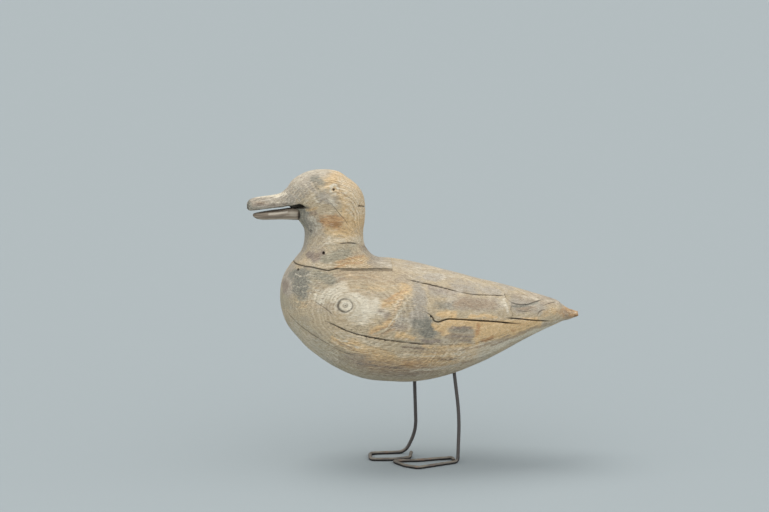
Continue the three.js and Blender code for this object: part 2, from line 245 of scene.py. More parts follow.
# Strokes of weathering: tone, strength, reach to each side in mm, and x and z along the stroke.
BODY_STROKES = [
    ("moss", 0.25, 15.5, [(-138, 178), (-127, 150), (-110, 128), (-86, 108)]),
    ("moss", 0.5, 6, [(-141, 190), (-138, 174)]),
    ("moss", 0.6, 7, [(-112, 205), (-118, 192), (-124, 178)]),
    ("slate", 0.8, 6, [(-134, 201), (-133, 186)]),
    ("slate", 0.7, 4.5, [(-141, 205), (-132, 214)]),
    ("storm", 1, 7.5, [(-124, 203), (-122, 194), (-120, 187)]),
    ("plum", 0.8, 3, [(-139, 197), (-138, 189)]),
    ("storm", 0.7, 4, [(-133, 206), (-114, 207)]),
    ("moss", 0.9, 6.5, [(-103, 204), (-92, 200)]),
    ("storm", 0.4, 4.5, [(-101, 204), (-90, 198)]),
    ("brown", 0.3, 9, [(-78, 203), (-44, 203), (-12, 198)]),
    ("ochre", 0.15, 7, [(-70, 198), (-42, 194), (-20, 190)]),
    ("cream", 0.6, 0.8, [(-127, 205), (-120, 203), (-112, 205), (-106, 203)]),
    ("cream", 0.55, 0.8, [(-116, 198), (-110, 195), (-104, 196)]),
    ("cream", 0.5, 0.7, [(-129, 193), (-122, 191), (-116, 192)]),
    ("cream", 0.45, 0.8, [(-120, 186), (-113, 184), (-106, 188)]),
    ("ochre", 0.3, 5.5, [(-129, 177), (-120, 171)]),
    ("cream", 0.7, 6.5, [(-103, 179), (-87, 186), (-75, 189)]),
    ("cream", 0.7, 7.5, [(-84, 178), (-79, 165), (-67, 159), (-54, 155)]),
    ("cream", 0.95, 5, [(-87, 185), (-84, 181)]),
    ("cream", 0.95, 9.5, [(-65, 174), (-50, 169), (-41, 167)]),
    ("plum", 0.6, 3, [(-37, 163), (-31, 158)]),
    ("ochre", 0.6, 6.5, [(-28, 170), (-16, 180), (-9, 187)]),
    ("cream", 0.4, 3, [(-36, 160), (-24, 166), (-16, 174)]),
    ("rust", 0.45, 1.2, [(-31, 175), (-18, 181), (-10, 186)]),
    ("rust", 0.35, 1.2, [(-34, 168), (-24, 174), (-14, 178)]),
    ("slate", 0.65, 8, [(4, 190), (5, 172), (7, 157)]),
    ("slate", 0.5, 7, [(-15, 152), (-2, 151), (11, 148)]),
    ("plum", 0.5, 4, [(-23, 147), (-12, 144)]),
    ("cream", 0.35, 5, [(-14, 158), (-8, 148)]),
    ("ochre", 0.85, 3.5, [(-46, 142), (-35, 146), (-24, 151)]),
    ("rust", 0.45, 1.1, [(-50, 138), (-37, 143), (-25, 148)]),
    ("rust", 0.35, 1.1, [(-46, 135), (-33, 139), (-22, 143)]),
    ("rust", 0.25, 1.8, [(-30, 150), (-21, 164), (-14, 174)]),
    ("slate", 0.3, 4, [(-18, 150), (-11, 161), (-3, 175)]),
    ("cream", 0.9, 0.8, [(-27, 147), (-20, 156), (-15, 163)]),
    ("cream", 0.45, 0.8, [(-36, 137), (-27, 147)]),
    ("cream", 0.4, 0.9, [(-15, 163), (-9, 174)]),
    ("cream", 0.4, 0.7, [(-17, 163), (-8, 167)]),
    ("ochre", 1, 3, [(-18, 136), (-9, 135), (-1, 133)]),
    ("brown", 0.5, 0.7, [(-18, 134), (-9, 133), (0, 131)]),
    ("storm", 0.5, 6, [(1, 146), (8, 139), (20, 138)]),
    ("storm", 0.85, 7, [(3, 153), (13, 149), (15, 140)]),
    ("slate", 0.7, 4.5, [(-1, 158), (6, 157)]),
    ("plum", 0.85, 2, [(9, 129), (20, 129), (28, 128)]),
    ("cream", 0.4, 5, [(-86, 132), (-62, 124), (-40, 118)]),
    ("ochre", 0.5, 6.5, [(-63, 127), (-46, 119), (-28, 114)]),
    ("ochre", 0.75, 5, [(-86, 135), (-76, 130), (-66, 126)]),
    ("cream", 0.7, 0.9, [(-85, 137), (-79, 132), (-71, 131)]),
    ("cream", 0.6, 0.8, [(-76, 126), (-68, 127), (-60, 124)]),
    ("brown", 0.6, 0.8, [(-84, 132), (-77, 128), (-67, 123)]),
    ("moss", 0.5, 1.5, [(-90, 139), (-75, 135)]),
    ("cream", 0.25, 9, [(-128, 150), (-112, 130), (-90, 114)]),
    ("brown", 0.2, 10, [(-52, 104), (-14, 99), (30, 101)]),
    ("ochre", 0.35, 9, [(-44, 108), (-8, 108), (30, 110)]),
    ("rust", 0.4, 3, [(-12, 106), (4, 103), (17, 106)]),
    ("brown", 0.75, 1.6, [(-13, 123), (-2, 122), (11, 121)]),
    ("ochre", 0.6, 6, [(12, 113), (40, 114), (66, 120)]),
    ("cream", 0.5, 1.8, [(-18, 115), (6, 113), (32, 112), (56, 116)]),
    ("ochre", 0.5, 4.5, [(14, 106), (40, 107), (64, 113)]),
    ("brown", 0.5, 0.8, [(-14, 118.5), (10, 117), (32, 116.5), (54, 119)]),
    ("brown", 0.6, 0.9, [(27, 107), (44, 109), (61, 113)]),
    ("cream", 0.3, 7, [(8, 100), (36, 103), (66, 110)]),
    ("plum", 0.17, 8, [(-74, 112), (-44, 101), (-10, 95), (20, 95)]),
    ("rust", 0.14, 9, [(-60, 112), (-20, 101), (32, 101), (64, 109)]),
    ("cream", 0.25, 3.5, [(30, 116), (58, 121), (74, 126)]),
    ("brown", 0.55, 0.9, [(-34, 97), (-4, 93), (26, 96)]),
    ("brown", 0.55, 0.9, [(8, 100), (36, 101), (62, 106)]),
    ("cream", 0.6, 1, [(-4, 97), (24, 98.5), (50, 103)]),
    ("plum", 0.5, 0.8, [(-60, 107), (-36, 102), (-12, 100)]),
    ("cream", 0.4, 4, [(-80, 140), (-58, 134), (-40, 128)]),
    ("ochre", 0.6, 2, [(12, 124), (28, 122), (45, 123), (61, 124)]),
    ("brown", 0.5, 1.3, [(4, 109), (28, 110), (46, 109)]),
    ("slate", 0.35, 6, [(-17, 214), (6, 207), (39, 196), (71, 186), (104, 181)]),
    ("cream", 0.3, 3, [(0, 209), (30, 199)]),
    ("slate", 0.7, 3.5, [(16, 200), (25, 198)]),
    ("slate", 0.65, 6.5, [(6, 183), (6, 169)]),
    ("slate", 0.7, 5, [(22, 184), (32, 181)]),
    ("plum", 0.5, 4, [(21, 188), (43, 181)]),
    ("slate", 0.75, 4.5, [(45, 187), (63, 183)]),
    ("slate", 0.65, 3.5, [(77, 184), (88, 183)]),
    ("slate", 0.55, 7.5, [(41, 171), (66, 168), (91, 168)]),
    ("storm", 0.45, 4.5, [(26, 169), (41, 167)]),
    ("brown", 0.75, 6, [(50, 171), (84, 168)]),
    ("ochre", 0.95, 3.5, [(29, 158), (43, 158)]),
    ("ochre", 0.9, 2, [(62, 155), (76, 156), (89, 154)]),
    ("ochre", 0.95, 6, [(34, 148), (44, 149), (72, 145), (105, 144), (134, 147)]),
    ("ochre", 0.95, 7, [(74, 137), (94, 139), (113, 142)]),
    ("rust", 0.75, 2, [(72, 143), (73, 137)]),
    ("rust", 0.85, 2, [(78, 129), (85, 132)]),
    ("rust", 0.5, 2, [(107, 139), (114, 141)]),
    ("brown", 0.7, 2.5, [(33, 137), (38, 136)]),
    ("ochre", 1, 3, [(72, 146), (72, 127)]),
    ("brown", 0.5, 7.5, [(45, 137), (59, 135.5)]),
    ("storm", 0.45, 3, [(42, 141), (62, 140)]),
    ("plum", 0.7, 1, [(41, 144), (50, 143), (63, 144)]),
    ("cream", 0.45, 0.8, [(40, 138), (52, 137), (63, 137)]),
    ("plum", 0.7, 1, [(42, 134), (52, 133), (64, 133)]),
    ("plum", 0.6, 1, [(44, 129), (62, 128.5)]),
    ("rust", 1, 2.4, [(70, 145), (70.5, 137)]),
    ("ochre", 0.95, 3.5, [(22, 146), (30, 143), (33, 138)]),
    ("rust", 0.35, 1, [(24, 143), (32, 139)]),
    ("ochre", 1, 3, [(113, 143), (124, 145), (137, 146)]),
    ("rust", 0.4, 1.2, [(114, 145.5), (126, 146.5)]),
    ("cream", 0.35, 6, [(52, 114), (72, 119), (92, 125)]),
    ("cream", 0.75, 1.3, [(84, 119), (104, 127), (126, 136), (148, 142)]),
    ("brown", 0.65, 0.8, [(84, 122.5), (104, 130.5), (126, 139.5), (146, 145)]),
    ("cream", 0.55, 0.8, [(66, 110), (82, 115), (100, 124)]),
    ("brown", 0.6, 0.9, [(52, 118), (70, 121), (88, 127), (104, 134)]),
    # Painted highlight on the raised edge in front of the lost flake.
    ("cream", 0.95, 1.1, [(98, 173), (100, 166), (102, 158)]),
    ("cream", 0.6, 1.5, [(96, 169), (100, 164)]),
    ("slate", 0.8, 8.5, [(111, 168), (137, 165)]),
    ("brown", 0.5, 3, [(112, 164), (132, 162)]),
    ("brown", 0.35, 4, [(112, 176), (136, 172), (152, 168)]),
    ("cream", 0.4, 1.6, [(114, 176), (135, 173)]),
    ("cream", 0.4, 1.4, [(138, 172), (157, 169)]),
    ("storm", 0.9, 1.1, [(108, 166), (121, 166), (135, 169)]),
    ("brown", 0.7, 1.1, [(118, 163), (126, 159)]),
    ("ochre", 0.5, 4, [(143, 157), (154, 159)]),
    ("rust", 0.6, 6, [(164, 158), (179, 155)]),
    ("brown", 0.6, 2, [(164, 159), (168, 154)]),
    ("cream", 0.5, 1.2, [(169, 158), (175, 157)]),
]
HEAD_STROKES = [
    ("slate", 0.65, 10, [(-131, 290), (-122, 300), (-114, 306)]),
    ("storm", 0.3, 6, [(-127, 298), (-121, 289)]),
    ("slate", 0.75, 6.5, [(-172, 283), (-152, 284), (-133, 287)]),
    ("brown", 0.6, 4, [(-172, 284), (-158, 284)]),
    ("plum", 0.5, 1.5, [(-170, 281), (-150, 281), (-138, 282)]),
    # A painted highlight along the top ridge of the upper bill.
    ("cream", 0.8, 1.5, [(-170, 289), (-158, 290), (-148, 290), (-137, 293)]),
    ("cream", 0.45, 1.2, [(-158, 283), (-137, 284)]),
    ("slate", 0.8, 2, [(-174, 286), (-166, 287), (-156, 286)]),
    ("storm", 0.8, 2, [(-176.5, 285), (-177, 279)]),
    ("cream", 0.35, 5, [(-126, 303), (-119, 309), (-108, 315), (-99, 317), (-86, 316)]),
    ("slate", 0.35, 5, [(-120, 305), (-106, 313), (-92, 313)]),
    ("ochre", 0.75, 14, [(-80, 300), (-69, 292), (-66, 278), (-68, 262), (-75, 253)]),
    ("cream", 0.5, 11, [(-76, 300), (-66, 290), (-62, 275)]),
    ("cream", 1, 1.3, [(-83, 298), (-85, 300.5), (-88, 301), (-91, 299), (-91.5, 296), (-90, 293),
                       (-86, 292)]),
    ("brown", 0.5, 0.6, [(-84, 302), (-81.5, 299), (-81, 295), (-83.5, 291.5)]),
    ("storm", 0.65, 3, [(-110, 308), (-104, 308), (-99, 304)]),
    ("slate", 0.6, 2.5, [(-112, 303), (-107, 294), (-101, 284)]),
    ("cream", 0.4, 1.1, [(-116, 302), (-109, 292), (-103, 282)]),
    ("cream", 0.4, 0.8, [(-109, 303), (-104, 294), (-99, 286)]),
    ("storm", 0.5, 0.9, [(-106, 302), (-102, 295), (-97, 288)]),
    ("slate", 0.75, 5.5, [(-97, 289), (-89, 285)]),
    ("cream", 0.65, 2.5, [(-90, 288), (-86, 280)]),
    ("ochre", 0.6, 6.5, [(-95, 257), (-84, 255)]),
    ("rust", 0.75, 6.5, [(-97, 262), (-88, 264), (-82, 259)]),
    ("moss", 0.6, 7.5, [(-122, 271), (-117, 262), (-114, 249)]),
    ("storm", 0.75, 6.5, [(-118, 272), (-114, 262), (-111, 253)]),
    ("slate", 0.55, 6.5, [(-110, 262), (-103, 253)]),
    ("cream", 0.45, 3.5, [(-111, 266), (-102, 254)]),
    ("brown", 0.8, 3, [(-111, 272), (-104, 271)]),
    ("ochre", 0.7, 1.2, [(-116, 275), (-109, 275), (-104, 276)]),
    ("cream", 0.5, 5, [(-92, 241), (-77, 241), (-60, 241)]),
    ("moss", 0.35, 5, [(-89, 232), (-78, 232), (-66, 233)]),
    ("slate", 0.3, 8.5, [(-114, 239), (-103, 237)]),
    ("slate", 0.55, 5, [(-127, 225), (-119, 238), (-118, 250)]),
    ("plum", 0.95, 4, [(-112, 225), (-104, 223), (-98, 227)]),
    ("brown", 0.5, 2.5, [(-106, 224), (-98, 226)]),
    ("moss", 0.85, 4.5, [(-96, 222), (-85, 224), (-73, 226)]),
    ("ochre", 0.45, 5, [(-82, 215), (-69, 218), (-55, 222), (-47, 217)]),
    ("cream", 0.25, 4, [(-72, 214), (-58, 217), (-46, 214)]),
    ("rust", 0.5, 1.2, [(-86, 212), (-73, 216), (-56, 217)]),
    ("rust", 0.45, 1, [(-81, 218), (-67, 222), (-55, 224)]),
    ("plum", 0.5, 2.5, [(-58, 235), (-53, 231)]),
    # Painted shade in the corner where the back of the neck meets the body.
    ("slate", 0.5, 3.5, [(-50, 228), (-43, 221)]),
    ("slate", 0.6, 5, [(-45, 218), (-35, 216), (-20, 214)]),
    ("cream", 0.3, 3, [(-38, 216), (-20, 214)]),
    # Painted shade along the lower edge of the upper bill.
    ("storm", 0.7, 0.6, [(-176, 277), (-160, 277.5), (-145, 278), (-132, 279)]),
]

# The surface's tones, each from worn early wood to hard late wood. Where two meet, fine noise
# settles which one shows, in this order.
TONES = {
    "cream": ("#e4decd", "#c0b6a0"),
    "ochre": ("#e2c89e", "#bb9c6f"),
    "rust": ("#c9a47a", "#99744f"),
    "brown": ("#b0a08a", "#837261"),
    "plum": ("#a19589", "#786c62"),
    "storm": ("#98968a", "#696860"),
    "slate": ("#bab2a4", "#8f887c"),
    "moss": ("#b1ab98", "#878270"),
}



def srgb(code):
    """Linear red, green and blue of a colour written as six hex digits."""
    values = [int(code[i:i + 2], 16) / 255 for i in (1, 3, 5)]
    return [v / 12.92 if v <= 0.04045 else ((v + 0.055) / 1.055) ** 2.4 for v in values]


def smooth(low, high, value):
    """Rises smoothly from 0 at low to 1 at high; the other way round if low is the larger."""
    share = np.clip((value - low) / (high - low), 0, 1)
    return share * share * (3 - 2 * share)


def noise(points, size, seed):
    """Smooth random values from -1 to 1 in blobs of about size mm (one number, or one per axis)."""
    place = points / np.asarray(size, float) + seed * 7.31
    cell = np.floor(place).astype(np.int64)
    part = place - cell
    fade = part * part * (3 - 2 * part)
    total = np.zeros(len(points))
    for corner in itertools.product((0, 1), repeat=3):
        # Large factors scatter the numbers of neighbouring cells.
        x, y, z = (cell + corner).T
        mixed = x * 73856093 ^ y * 19349663 ^ z * 83492791 ^ seed * 2654435
        mixed = (mixed ^ (mixed >> 13)) * 1274126177
        value = ((mixed ^ (mixed >> 16)) & 0xFFFF) / 32767.5 - 1
        total += np.prod(np.where(corner, fade, 1 - fade), axis=1) * value
    return total


def side_plan(points, side):
    """Where points are seen on the middle plane by someone at the camera's place, or, for the far
    side, at its mirror image: x and z in mm."""
    p = points * (1, side, 1)
    share = -p[:, 1] / (STANDPOINT[1] - p[:, 1])
    seen = p + (STANDPOINT - p) * share[:, None]
    return seen[:, [0, 2]]


def side_of(points, side):
    """1 on the side of the bird that is asked for, fading out past the ridge of its back."""
    return smooth(14, 4, points[:, 1] * side)


def spline(points, span, share):
    """Centripetal curve through the points, at a share of the way along one span."""
    p1, p2 = points[span], points[span + 1]
    p0 = points[span - 1] if span > 0 else 2 * p1 - p2
    p3 = points[span + 2] if span + 2 < len(points) else 2 * p2 - p1
    d1 = math.sqrt(np.linalg.norm(p2 - p1)) or 1.0
    d0 = math.sqrt(np.linalg.norm(p1 - p0)) or d1
    d2 = math.sqrt(np.linalg.norm(p3 - p2)) or d1
    t1 = ((p1 - p0) / d0 - (p2 - p0) / (d0 + d1) + (p2 - p1) / d1) * d1
    t2 = ((p2 - p1) / d1 - (p3 - p1) / (d1 + d2) + (p3 - p2) / d2) * d1
    return (p1 + t1 * share + (3 * (p2 - p1) - 2 * t1 - t2) * share ** 2
            + (2 * (p1 - p2) + t1 + t2) * share ** 3)


def lengths_to(line):
    """How far along a line each of its points is."""
    return np.append(0, np.cumsum(np.linalg.norm(np.diff(line, axis=0), axis=1)))


def points_at(line, lengths, wanted):
    """The places on a line at the wanted lengths along it."""
    return np.column_stack([np.interp(wanted, lengths, line[:, k]) for k in range(3)])


def section(back, belly, half_width, widest, square, around):
    """One ring of points, evenly spaced round a cross-section."""
    turn = np.linspace(0, 2 * np.pi, 481)
    power = np.where(np.cos(turn) > 0, square, 2)
    cosine = np.sign(np.cos(turn)) * np.abs(np.cos(turn)) ** (2 / power)
    even = (1 - cosine) / 2
    height = even + 4 * (widest - 0.5) * even * (1 - even)
    flat = belly + (back - belly) * height[:, None]
    across = half_width * np.sign(np.sin(turn)) * np.abs(np.sin(turn)) ** (2 / power)
    ring = np.column_stack([flat[:, 0], across, flat[:, 1]])
    lengths = lengths_to(ring)
    return points_at(ring, lengths, np.arange(around) / around * lengths[-1])


def skin(rings, around):
    """Four-sided faces between neighbouring rings of points."""
    i = np.arange(around)
    j = (i + 1) % around
    starts = np.arange(rings - 1)[:, None] * around
    return np.stack([starts + i, starts + around + i, starts + around + j, starts + j], -1).reshape(-1, 4)


def loft(rows, gap, around, belly_share=1.0, grow=0.0):
    """Points and faces of a closed skin over the rows, with rings no more than gap mm apart."""
    back, belly, shape = rows[:, 0:2], rows[:, 2:4], rows[:, 4:7]
    rings = []
    for span in range(len(rows) - 1):
        back_step = np.linalg.norm(back[span + 1] - back[span])
        belly_step = np.linalg.norm(belly[span + 1] - belly[span]) * belly_share
        steps = math.ceil(max(back_step, belly_step) / gap)
        closing = span == len(rows) - 2
        for k in range(steps + closing):
            a, b, s = (spline(line, span, k / steps) for line in (back, belly, shape))
            reach = (b - a) / np.linalg.norm(b - a) * grow
            rings.append(section(a - reach, b + reach, s[0] + grow, s[1], s[2], around))
    points = np.concatenate(rings)
    ends = [rings[0].mean(0), rings[-1].mean(0)]
    first, last = len(points), len(points) + 1
    top = (len(rings) - 1) * around
    pairs = [(i, (i + 1) % around) for i in range(around)]
    caps = [(first, i, j) for i, j in pairs] + [(last, top + j, top + i) for i, j in pairs]
    return np.vstack([points, ends]), skin(len(rings), around).tolist() + caps


def new_object(name, data):
    """An object in the scene that shows the given mesh, light or camera."""
    item = bpy.data.objects.new(name, data)
    bpy.context.scene.collection.objects.link(item)
    return item


def new_piece(name, points, faces):
    """A mesh object from points in mm."""
    mesh = bpy.data.meshes.new(name)
    mesh.from_pydata((np.asarray(points) * MM).tolist(), [], [tuple(map(int, f)) for f in faces])
    mesh.update()
    return new_object(name, mesh)


def points_of(piece):
    """A piece's points, in mm."""
    values = np.empty(len(piece.data.vertices) * 3, np.float32)
    piece.data.vertices.foreach_get("co", values)
    return values.reshape(-1, 3).astype(float) / MM


def normals_of(piece):
    """The way that the surface faces at each of a piece's points."""
    values = np.empty(len(piece.data.vertices) * 3, np.float32)
    piece.data.vertex_normals.foreach_get("vector", values)
    return values.reshape(-1, 3)


def move_points(piece, points):
    """Puts a piece's points at new places, in mm."""
    piece.data.vertices.foreach_set("co", (points * MM).astype(np.float32).ravel())
    piece.data.update()


def push_out(piece, relief):
    """Moves every point along its normal by relief mm."""
    move_points(piece, points_of(piece) + normals_of(piece) * relief[:, None])


def refine(piece, wanted, cuts=2):
    """Divides the faces whose corners are all wanted, so that fine marks have points to shape."""
    mesh = bmesh.new()
    mesh.from_mesh(piece.data)
    mesh.verts.ensure_lookup_table()
    edges = [e for e in mesh.edges if wanted[e.verts[0].index] and wanted[e.verts[1].index]]
    bmesh.ops.subdivide_edges(mesh, edges=edges, cuts=cuts, use_grid_fill=True)
    bmesh.ops.triangulate(mesh, faces=[f for f in mesh.faces if len(f.verts) > 4])
    mesh.to_mesh(piece.data)
    mesh.free()


def prism(name, outline, near=-ASIDE, far=ASIDE):
    """A side outline of x and z points in mm, carried across the bird from near to far."""
    n = len(outline)
    points = [(x, y, z) for y in (near, far) for x, z in outline]
    sides = [(i, (i + 1) % n, n + (i + 1) % n, n + i) for i in range(n)]
    piece = new_piece(name, points, [tuple(range(n))[::-1], tuple(range(n, 2 * n))] + sides)
    mesh = bmesh.new()
    mesh.from_mesh(piece.data)
    bmesh.ops.recalc_face_normals(mesh, faces=mesh.faces)
    mesh.to_mesh(piece.data)
    mesh.free()
    return piece


def above_seat(seat):
    """The outline of all that lies over a seat line, up to past the crown and the bill."""
    return seat + [(seat[-1][0], ABOVE), (AHEAD, ABOVE), (AHEAD, seat[0][1])]


def bar(name, start, end, radius, sides=24):
    """A round bar between two points, in mm."""
    mesh = bmesh.new()
    along = end - start
    width = radius * MM
    bmesh.ops.create_cone(
        mesh, cap_ends=True, segments=sides, radius1=width, radius2=width, depth=along.length * MM)
    turn = along.to_track_quat("Z", "Y").to_matrix().to_4x4()
    turn.translation = (start + end) / 2 * MM
    mesh.transform(turn)
    data = bpy.data.meshes.new(name)
    mesh.to_mesh(data)
    mesh.free()
    return new_object(name, data)


def cut(piece, tool, operation="DIFFERENCE"):
    """Cuts one solid with another, and throws the cutting solid away."""
    step = piece.modifiers.new("cut", "BOOLEAN")
    step.object = tool
    step.operation = operation
    step.solver = "MANIFOLD"
    shaped = bpy.data.meshes.new_from_object(piece.evaluated_get(bpy.context.evaluated_depsgraph_get()))
    piece.modifiers.clear()
    piece.data = shaped
    bpy.data.objects.remove(tool)


def distance_to_line(flat, line):
    """How far flat points are from a line of x and z points, and the share of its length there."""
    line = np.asarray(line, float)
    before = lengths_to(line)
    nearest = np.full(len(flat), FAR_AWAY)
    share = np.zeros(len(flat))
    for i, length in enumerate(np.linalg.norm(np.diff(line, axis=0), axis=1)):
        way = line[i + 1] - line[i]
        t = np.clip((flat - line[i]) @ way / length ** 2, 0, 1)
        gap = np.linalg.norm(flat - line[i] - t[:, None] * way, axis=1)
        closer = gap < nearest
        nearest[closer] = gap[closer]
        share[closer] = (before[i] + t[closer] * length) / before[-1]
    return nearest, share


def gap_to(flat, line):
    """How far flat points are from a line of x and z points."""
    return distance_to_line(flat, line)[0]


def within(flat, line, margin):
    """True at flat points in the upright box round a line, grown by margin mm."""
    line = np.asarray(line, float)
    return np.all((flat > line.min(0) - margin) & (flat < line.max(0) + margin), axis=1)


def rounded(line, steps=6):
    """The same line with rounded corners."""
    line = np.asarray(line, float)
    return [spline(line, i, k / steps) for i in range(len(line) - 1) for k in range(steps)] + [line[-1]]


def splits(points, lines, side):
    """Depth in mm and darkness from 0 to 1 of the drying splits on one side."""
    depth = np.zeros(len(points))
    dark = np.zeros(len(points))
    flat = side_plan(points, side)
    wander = 0.225 * noise(points, 5, 21)
    for line, width, deep in lines:
        line = rounded(line)
        here = within(flat, line, 6) & (points[:, 1] * side < PAST_MIDDLE)
        gap, share = distance_to_line(flat[here], line)
        gap = np.abs(gap + wander[here])
        # A split closes over the last seventh of its length at each end.
        open_ = np.clip(np.minimum(share, 1 - share) * 7, 0.12, 1)
        half = width / 2 * (0.55 + 0.45 * open_)
        lip = smooth(half * 1.9, half * 0.35, gap)
        depth[here] = np.maximum(depth[here], deep * open_ * lip)
        # The darkness is painted shade in the split, darker where it is deeper and wider open.
        shade = min(1, 0.35 + deep / 2.4) * (0.3 + 0.7 * open_)
        dark[here] = np.maximum(dark[here], smooth(half * 1.5 + 0.15, half * 0.7, gap) * shade)
    return depth, dark


def holes(points, spots, sides=(NEAR,)):
    """Depth and darkness of small round holes, a little ragged and higher than wide."""
    depth = np.zeros(len(points))
    dark = np.zeros(len(points))
    ragged = 0.35 * noise(points, 1.6, 22)
    for side in sides:
        flat = side_plan(points, side)
        for x, z, radius, deep in spots:
            gap = np.hypot(flat[:, 0] - x, (flat[:, 1] - z) * 0.85) + ragged
            gap[points[:, 1] * side > 0] = FAR_AWAY
            depth = np.maximum(depth, deep * smooth(radius * 1.35, radius * 0.55, gap))
            # The darkness is painted shade in the hole, deeper holes darker.
            dark = np.maximum(dark, smooth(radius * 1.5, radius * 0.8, gap) * min(1, deep / 2))
    return depth, dark


def seat_height(x):
    """Height of the neck block's seat at x."""
    xs, zs = zip(*NECK_SEAT)
    return np.interp(x, xs, zs)


def seam(points):
    """Depth and darkness of the worn joint round the neck block: a thin crack in front, and a
    wider worn groove along the back."""
    over = points[:, 2] - seat_height(points[:, 0])
    on_seat = smooth(-25.5, -27, points[:, 0])
    front = smooth(-80, -86, points[:, 0])
    crack = np.exp(-(over / 0.75) ** 2) * on_seat
    groove = smooth(-2.7, -2.0, over) * smooth(0.9, 0.2, over) * on_seat * (1 - front)
    return 0.7 * crack * front + groove, np.maximum(crack * front, 0.5 * groove)


def knot_place(points):
    """Distance from the knot's middle, 1 at its ring, and the angle round it."""
    flat = side_plan(points, NEAR)
    dx, dz = flat[:, 0] - KNOT[0], flat[:, 1] - KNOT[1]
    angle = np.arctan2(dz, dx)
    uneven = 1 + 0.04 * np.sin(2 * angle + 1) + 0.015 * np.sin(5 * angle)
    out = np.hypot(dx / KNOT[2], dz / KNOT[3]) * uneven
    out[points[:, 1] > 0] = FAR_AWAY
    return out, angle


def body_rings(points):
    """How far through the growth rings a point of the body is, in mm across them. They lie flat
    across the breast, swell round the knot and lean over towards the tail."""
    knot, _ = knot_place(points)
    swell = 7.5 * np.exp(-(knot / 2.0) ** 2)
    from_breast = np.hypot((points[:, 0] + 60) / 1.15, points[:, 2] - 172)
    arch = 30 * smooth(22, 68, from_breast) * side_of(points, NEAR)
    bend = 2.2 * noise(points, (60, 30, 24), 3) + 1.5 * noise(points, (24, 12, 9), 4)
    bend += 0.7 * noise(points, (11, 6, 5), 7)
    lean = smooth(-10, 60, points[:, 0])
    slope = -0.08 * points[:, 0] * (1 - lean) + (0.17 + 0.5 * lean) * (points[:, 2] - 150)
    return -points[:, 1] * (1 - 0.4 * lean) + slope + swell - arch + bend


def body_figure(points):
    """How plainly the growth rings show on the body."""
    flat = side_plan(points, NEAR)
    knot, _ = knot_place(points)
    belly = 0.25 * smooth(20, 6, gap_to(flat, [(-80, 118), (-30, 104), (20, 108)]))
    close = np.maximum(belly, 0.34 * smooth(3.0, 1.5, knot)) - 0.14 * smooth(22, 8, gap_to(flat, FLAME))
    return 0.24 + close * side_of(points, NEAR)


def body_bite(points):
    """How deeply fine checks have roughened the body."""
    flat = side_plan(points, NEAR)
    flame = 0.4 * smooth(26, 8, gap_to(flat, FLAME))
    breast = 0.36 * smooth(26, 8, gap_to(flat, [(-130, 206), (-122, 180), (-100, 196)]))
    belly = 0.3 * smooth(26, 8, gap_to(flat, [(-80, 118), (-30, 104), (40, 108)]))
    return 0.57 + np.maximum.reduce([flame, breast, belly]) * side_of(points, NEAR)


def head_rings(points):
    """The same as body_rings for the neck block, whose rings lie a little closer."""
    bend = 1.3 * noise(points, (34, 22, 18), 5) + 0.8 * noise(points, (14, 9, 8), 6)
    return 1.3 * (-points[:, 1] + 0.05 * points[:, 0] - 0.25 * points[:, 2] + bend)


def head_figure(points):
    """How plainly the growth rings show on the neck block."""
    flat = side_plan(points, NEAR)
    back = smooth(18, 6, gap_to(flat, [(-80, 304), (-64, 290), (-60, 268)]))
    base = smooth(12, 5, gap_to(flat, [(-82, 215), (-60, 219), (-46, 216)]))
    cheek = 0.6 * smooth(12, 5, gap_to(flat, [(-92, 260), (-76, 254)]))
    return 0.22 + 0.45 * np.maximum.reduce([back, base, cheek])


def brush(points, strokes, side, amounts):
    """Lays strokes over the tones already there; each new one covers the older ones."""
    plan = side_plan(points, side)
    wander = np.column_stack([noise(points, (12, 7, 7), 31), noise(points, (9, 5, 5), 32)]) * (3.5, 1.6)
    wander += np.column_stack([noise(points, (4, 2, 2), 33), noise(points, (4, 2, 2), 34)]) * (1.8, 0.7)
    seen = side_of(points, side)
    for tone, strength, reach, line in strokes:
        flat = plan + wander * min(1, 0.2 + reach / 4)
        soft = 0.8 + 0.55 * reach
        here = within(flat, line, reach + soft) & (seen > 0)
        edge = smooth(reach + soft, reach - soft, gap_to(flat[here], line))
        cover = strength * edge * seen[here]
        for name in TONES:
            amounts[name][here] *= 1 - cover
        amounts[tone][here] += cover


def moved(strokes, dx, dz, share):
    """The same strokes moved along and weakened, for the side that is not seen."""
    return [(tone, strength * share, reach * 1.15, [(x + dx, z + dz) for x, z in line])
            for tone, strength, reach, line in strokes]


def write_channel(piece, name, values):
    """Keeps one number for each point of a piece, for its material to read."""
    channel = piece.data.attributes.new(name, "FLOAT", "POINT")
    channel.data.foreach_set("value", values.astype(np.float32))


def body_flake(points):
    """1 where a flake of the side has come away behind the upper split, and how far each point
    is from the flake's front edge."""
    flat = side_plan(points, NEAR)
    xs, zs = zip(*FLAKE_EDGE)
    behind = flat[:, 0] - (np.interp(flat[:, 1], zs, xs) + 0.7 * noise(points, 2.5, 41))
    gone = smooth(0, 0.5, behind) * smooth(46, 6, behind)
    band = smooth(151, 153, flat[:, 1]) * smooth(181, 176.5, flat[:, 1] + 0.2 * (flat[:, 0] - 98))
    return gone * band * side_of(points, NEAR), np.abs(behind)


